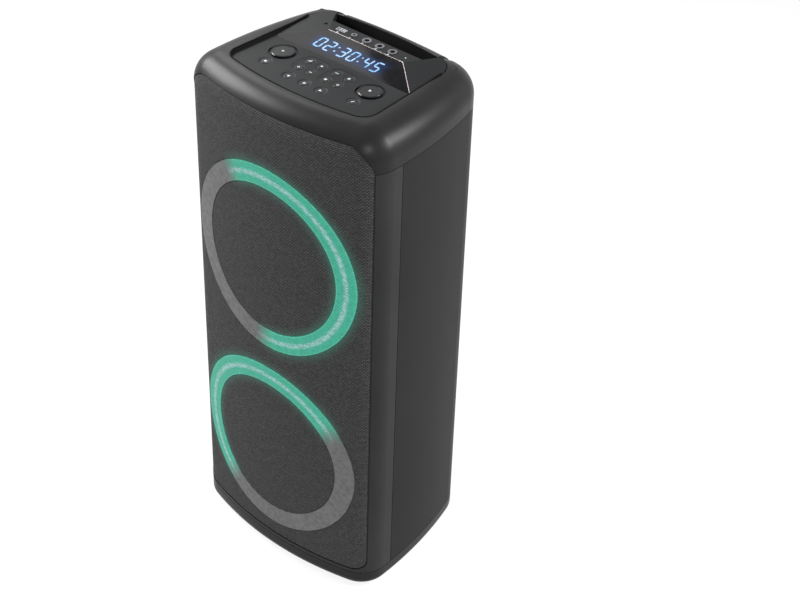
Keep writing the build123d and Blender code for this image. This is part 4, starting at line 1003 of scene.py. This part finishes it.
class Studio(bpy.types.Operator):
    """Sets up the pale floor, the even light, the soft lamps and the camera."""

    bl_idname = "speaker.studio"
    bl_label = "Studio"

    def execute(self, context):
        scene = context.scene
        scene.view_settings.view_transform = "Standard"
        self.floor()
        self.world(scene)
        self.lamp("brow_lamp", (-1.45, -0.40, 1.62), (-0.05, -0.05, 0.66), 0.9, 60.0)
        self.lamp("front_lamp", (1.0, -1.15, 1.4), (0.05, -0.05, 0.6), 0.5, 12.0)
        self.lamp("shoulder_lamp", (1.5, 0.9, 1.5), (0.1, 0.05, 0.66), 0.8, 62.0)
        self.lamp("window_lamp", (-1.27, 0.68, 1.75), (0.0, 0.025, 0.70), 0.62, 8.0)
        lens = bpy.data.cameras.new("studio_camera")
        lens.lens = 78.96
        lens.shift_x = 0.0302
        lens.shift_y = 0.0129
        camera = bpy.data.objects.new("studio_camera", lens)
        scene.collection.objects.link(camera)
        camera.matrix_world = studio_frame()
        scene.camera = camera
        return {"FINISHED"}

    def floor(self):
        """Wide plane under the feet that shows nearly white and keeps a soft shadow."""
        made, tree, shader, _ = shaded("studio floor", 0.9)
        shader.inputs["Base Color"].default_value = (0.92, 0.92, 0.92, 1.0)
        seen = seen_white(tree)
        white = tree.nodes.new("ShaderNodeEmission")
        blend = tree.nodes.new("ShaderNodeMixShader")
        tree.links.new(maths(tree, "MULTIPLY", seen, 0.88), blend.inputs[0])
        tree.links.new(shader.outputs[0], blend.inputs[1])
        tree.links.new(white.outputs[0], blend.inputs[2])
        tree.links.new(blend.outputs[0], tree.nodes["Material Output"].inputs["Surface"])
        mesh = bpy.data.meshes.new("studio_floor")
        h = FLOOR_HALF
        mesh.from_pydata([(-h, -h, 0.0), (h, -h, 0.0), (h, h, 0.0), (-h, h, 0.0)], [], [(0, 1, 2, 3)])
        mesh.materials.append(made)
        floor = bpy.data.objects.new("studio_floor", mesh)
        bpy.context.scene.collection.objects.link(floor)

    def world(self, scene):
        """Dim even light; white where the camera, gloss or glass looks past the floor."""
        world = bpy.data.worlds.new("studio_world")
        scene.world = world
        world.use_nodes = True
        tree = world.node_tree
        seen = seen_white(tree)
        dim = tree.nodes["Background"]
        dim.inputs["Color"].default_value = (1.0, 1.0, 1.0, 1.0)
        dim.inputs["Strength"].default_value = 0.22
        white = tree.nodes.new("ShaderNodeBackground")
        white.inputs["Color"].default_value = (1.0, 1.0, 1.0, 1.0)
        blend = tree.nodes.new("ShaderNodeMixShader")
        tree.links.new(seen, blend.inputs[0])
        tree.links.new(dim.outputs[0], blend.inputs[1])
        tree.links.new(white.outputs[0], blend.inputs[2])
        tree.links.new(blend.outputs[0], tree.nodes["World Output"].inputs["Surface"])

    def lamp(self, name, place, target, size, power):
        """Square soft lamp at place, looking at target."""
        light = bpy.data.lights.new(name, "AREA")
        light.size = size
        light.energy = power
        lamp = bpy.data.objects.new(name, light)
        bpy.context.scene.collection.objects.link(lamp)
        back = np.array(place) - np.array(target)
        back = back / np.linalg.norm(back)
        right = np.cross((0.0, 0.0, 1.0), back)
        right = right / np.linalg.norm(right)
        lamp.matrix_world = facing(right, back, np.array(place))


class SpeakerPanel(bpy.types.Panel):
    """Lists the speaker's steps and looks in the 3D view's sidebar."""

    bl_idname = "VIEW3D_PT_party_speaker"
    bl_label = "Party speaker"
    bl_space_type = "VIEW_3D"
    bl_region_type = "UI"
    bl_category = "Speaker"

    def draw(self, context):
        looks = context.scene.speaker_looks
        for name in SpeakerLooks.__annotations__:
            self.layout.prop(looks, name)
        for step in STEPS:
            self.layout.operator(step.bl_idname)


STEPS = (MouldedFinishes, GrilleCloths, LightRings, DeckShadowBead, ClockWindow, ClockFigures, KeyMarks, Studio)
CLASSES = (SpeakerLooks, *STEPS, SpeakerPanel)


def register():
    for made in CLASSES:
        bpy.utils.register_class(made)
    bpy.types.Scene.speaker_looks = bpy.props.PointerProperty(type=SpeakerLooks)


def unregister():
    del bpy.types.Scene.speaker_looks
    for made in reversed(CLASSES):
        bpy.utils.unregister_class(made)


def main():
    """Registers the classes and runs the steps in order."""
    register()
    bpy.ops.speaker.moulded_finishes()
    bpy.ops.speaker.grille_cloths()
    bpy.ops.speaker.light_rings()
    bpy.ops.speaker.deck_gasket()
    bpy.ops.speaker.clock_window()
    bpy.ops.speaker.clock_figures()
    bpy.ops.speaker.key_marks()
    bpy.ops.speaker.studio()


if __name__ == "__main__":
    main()
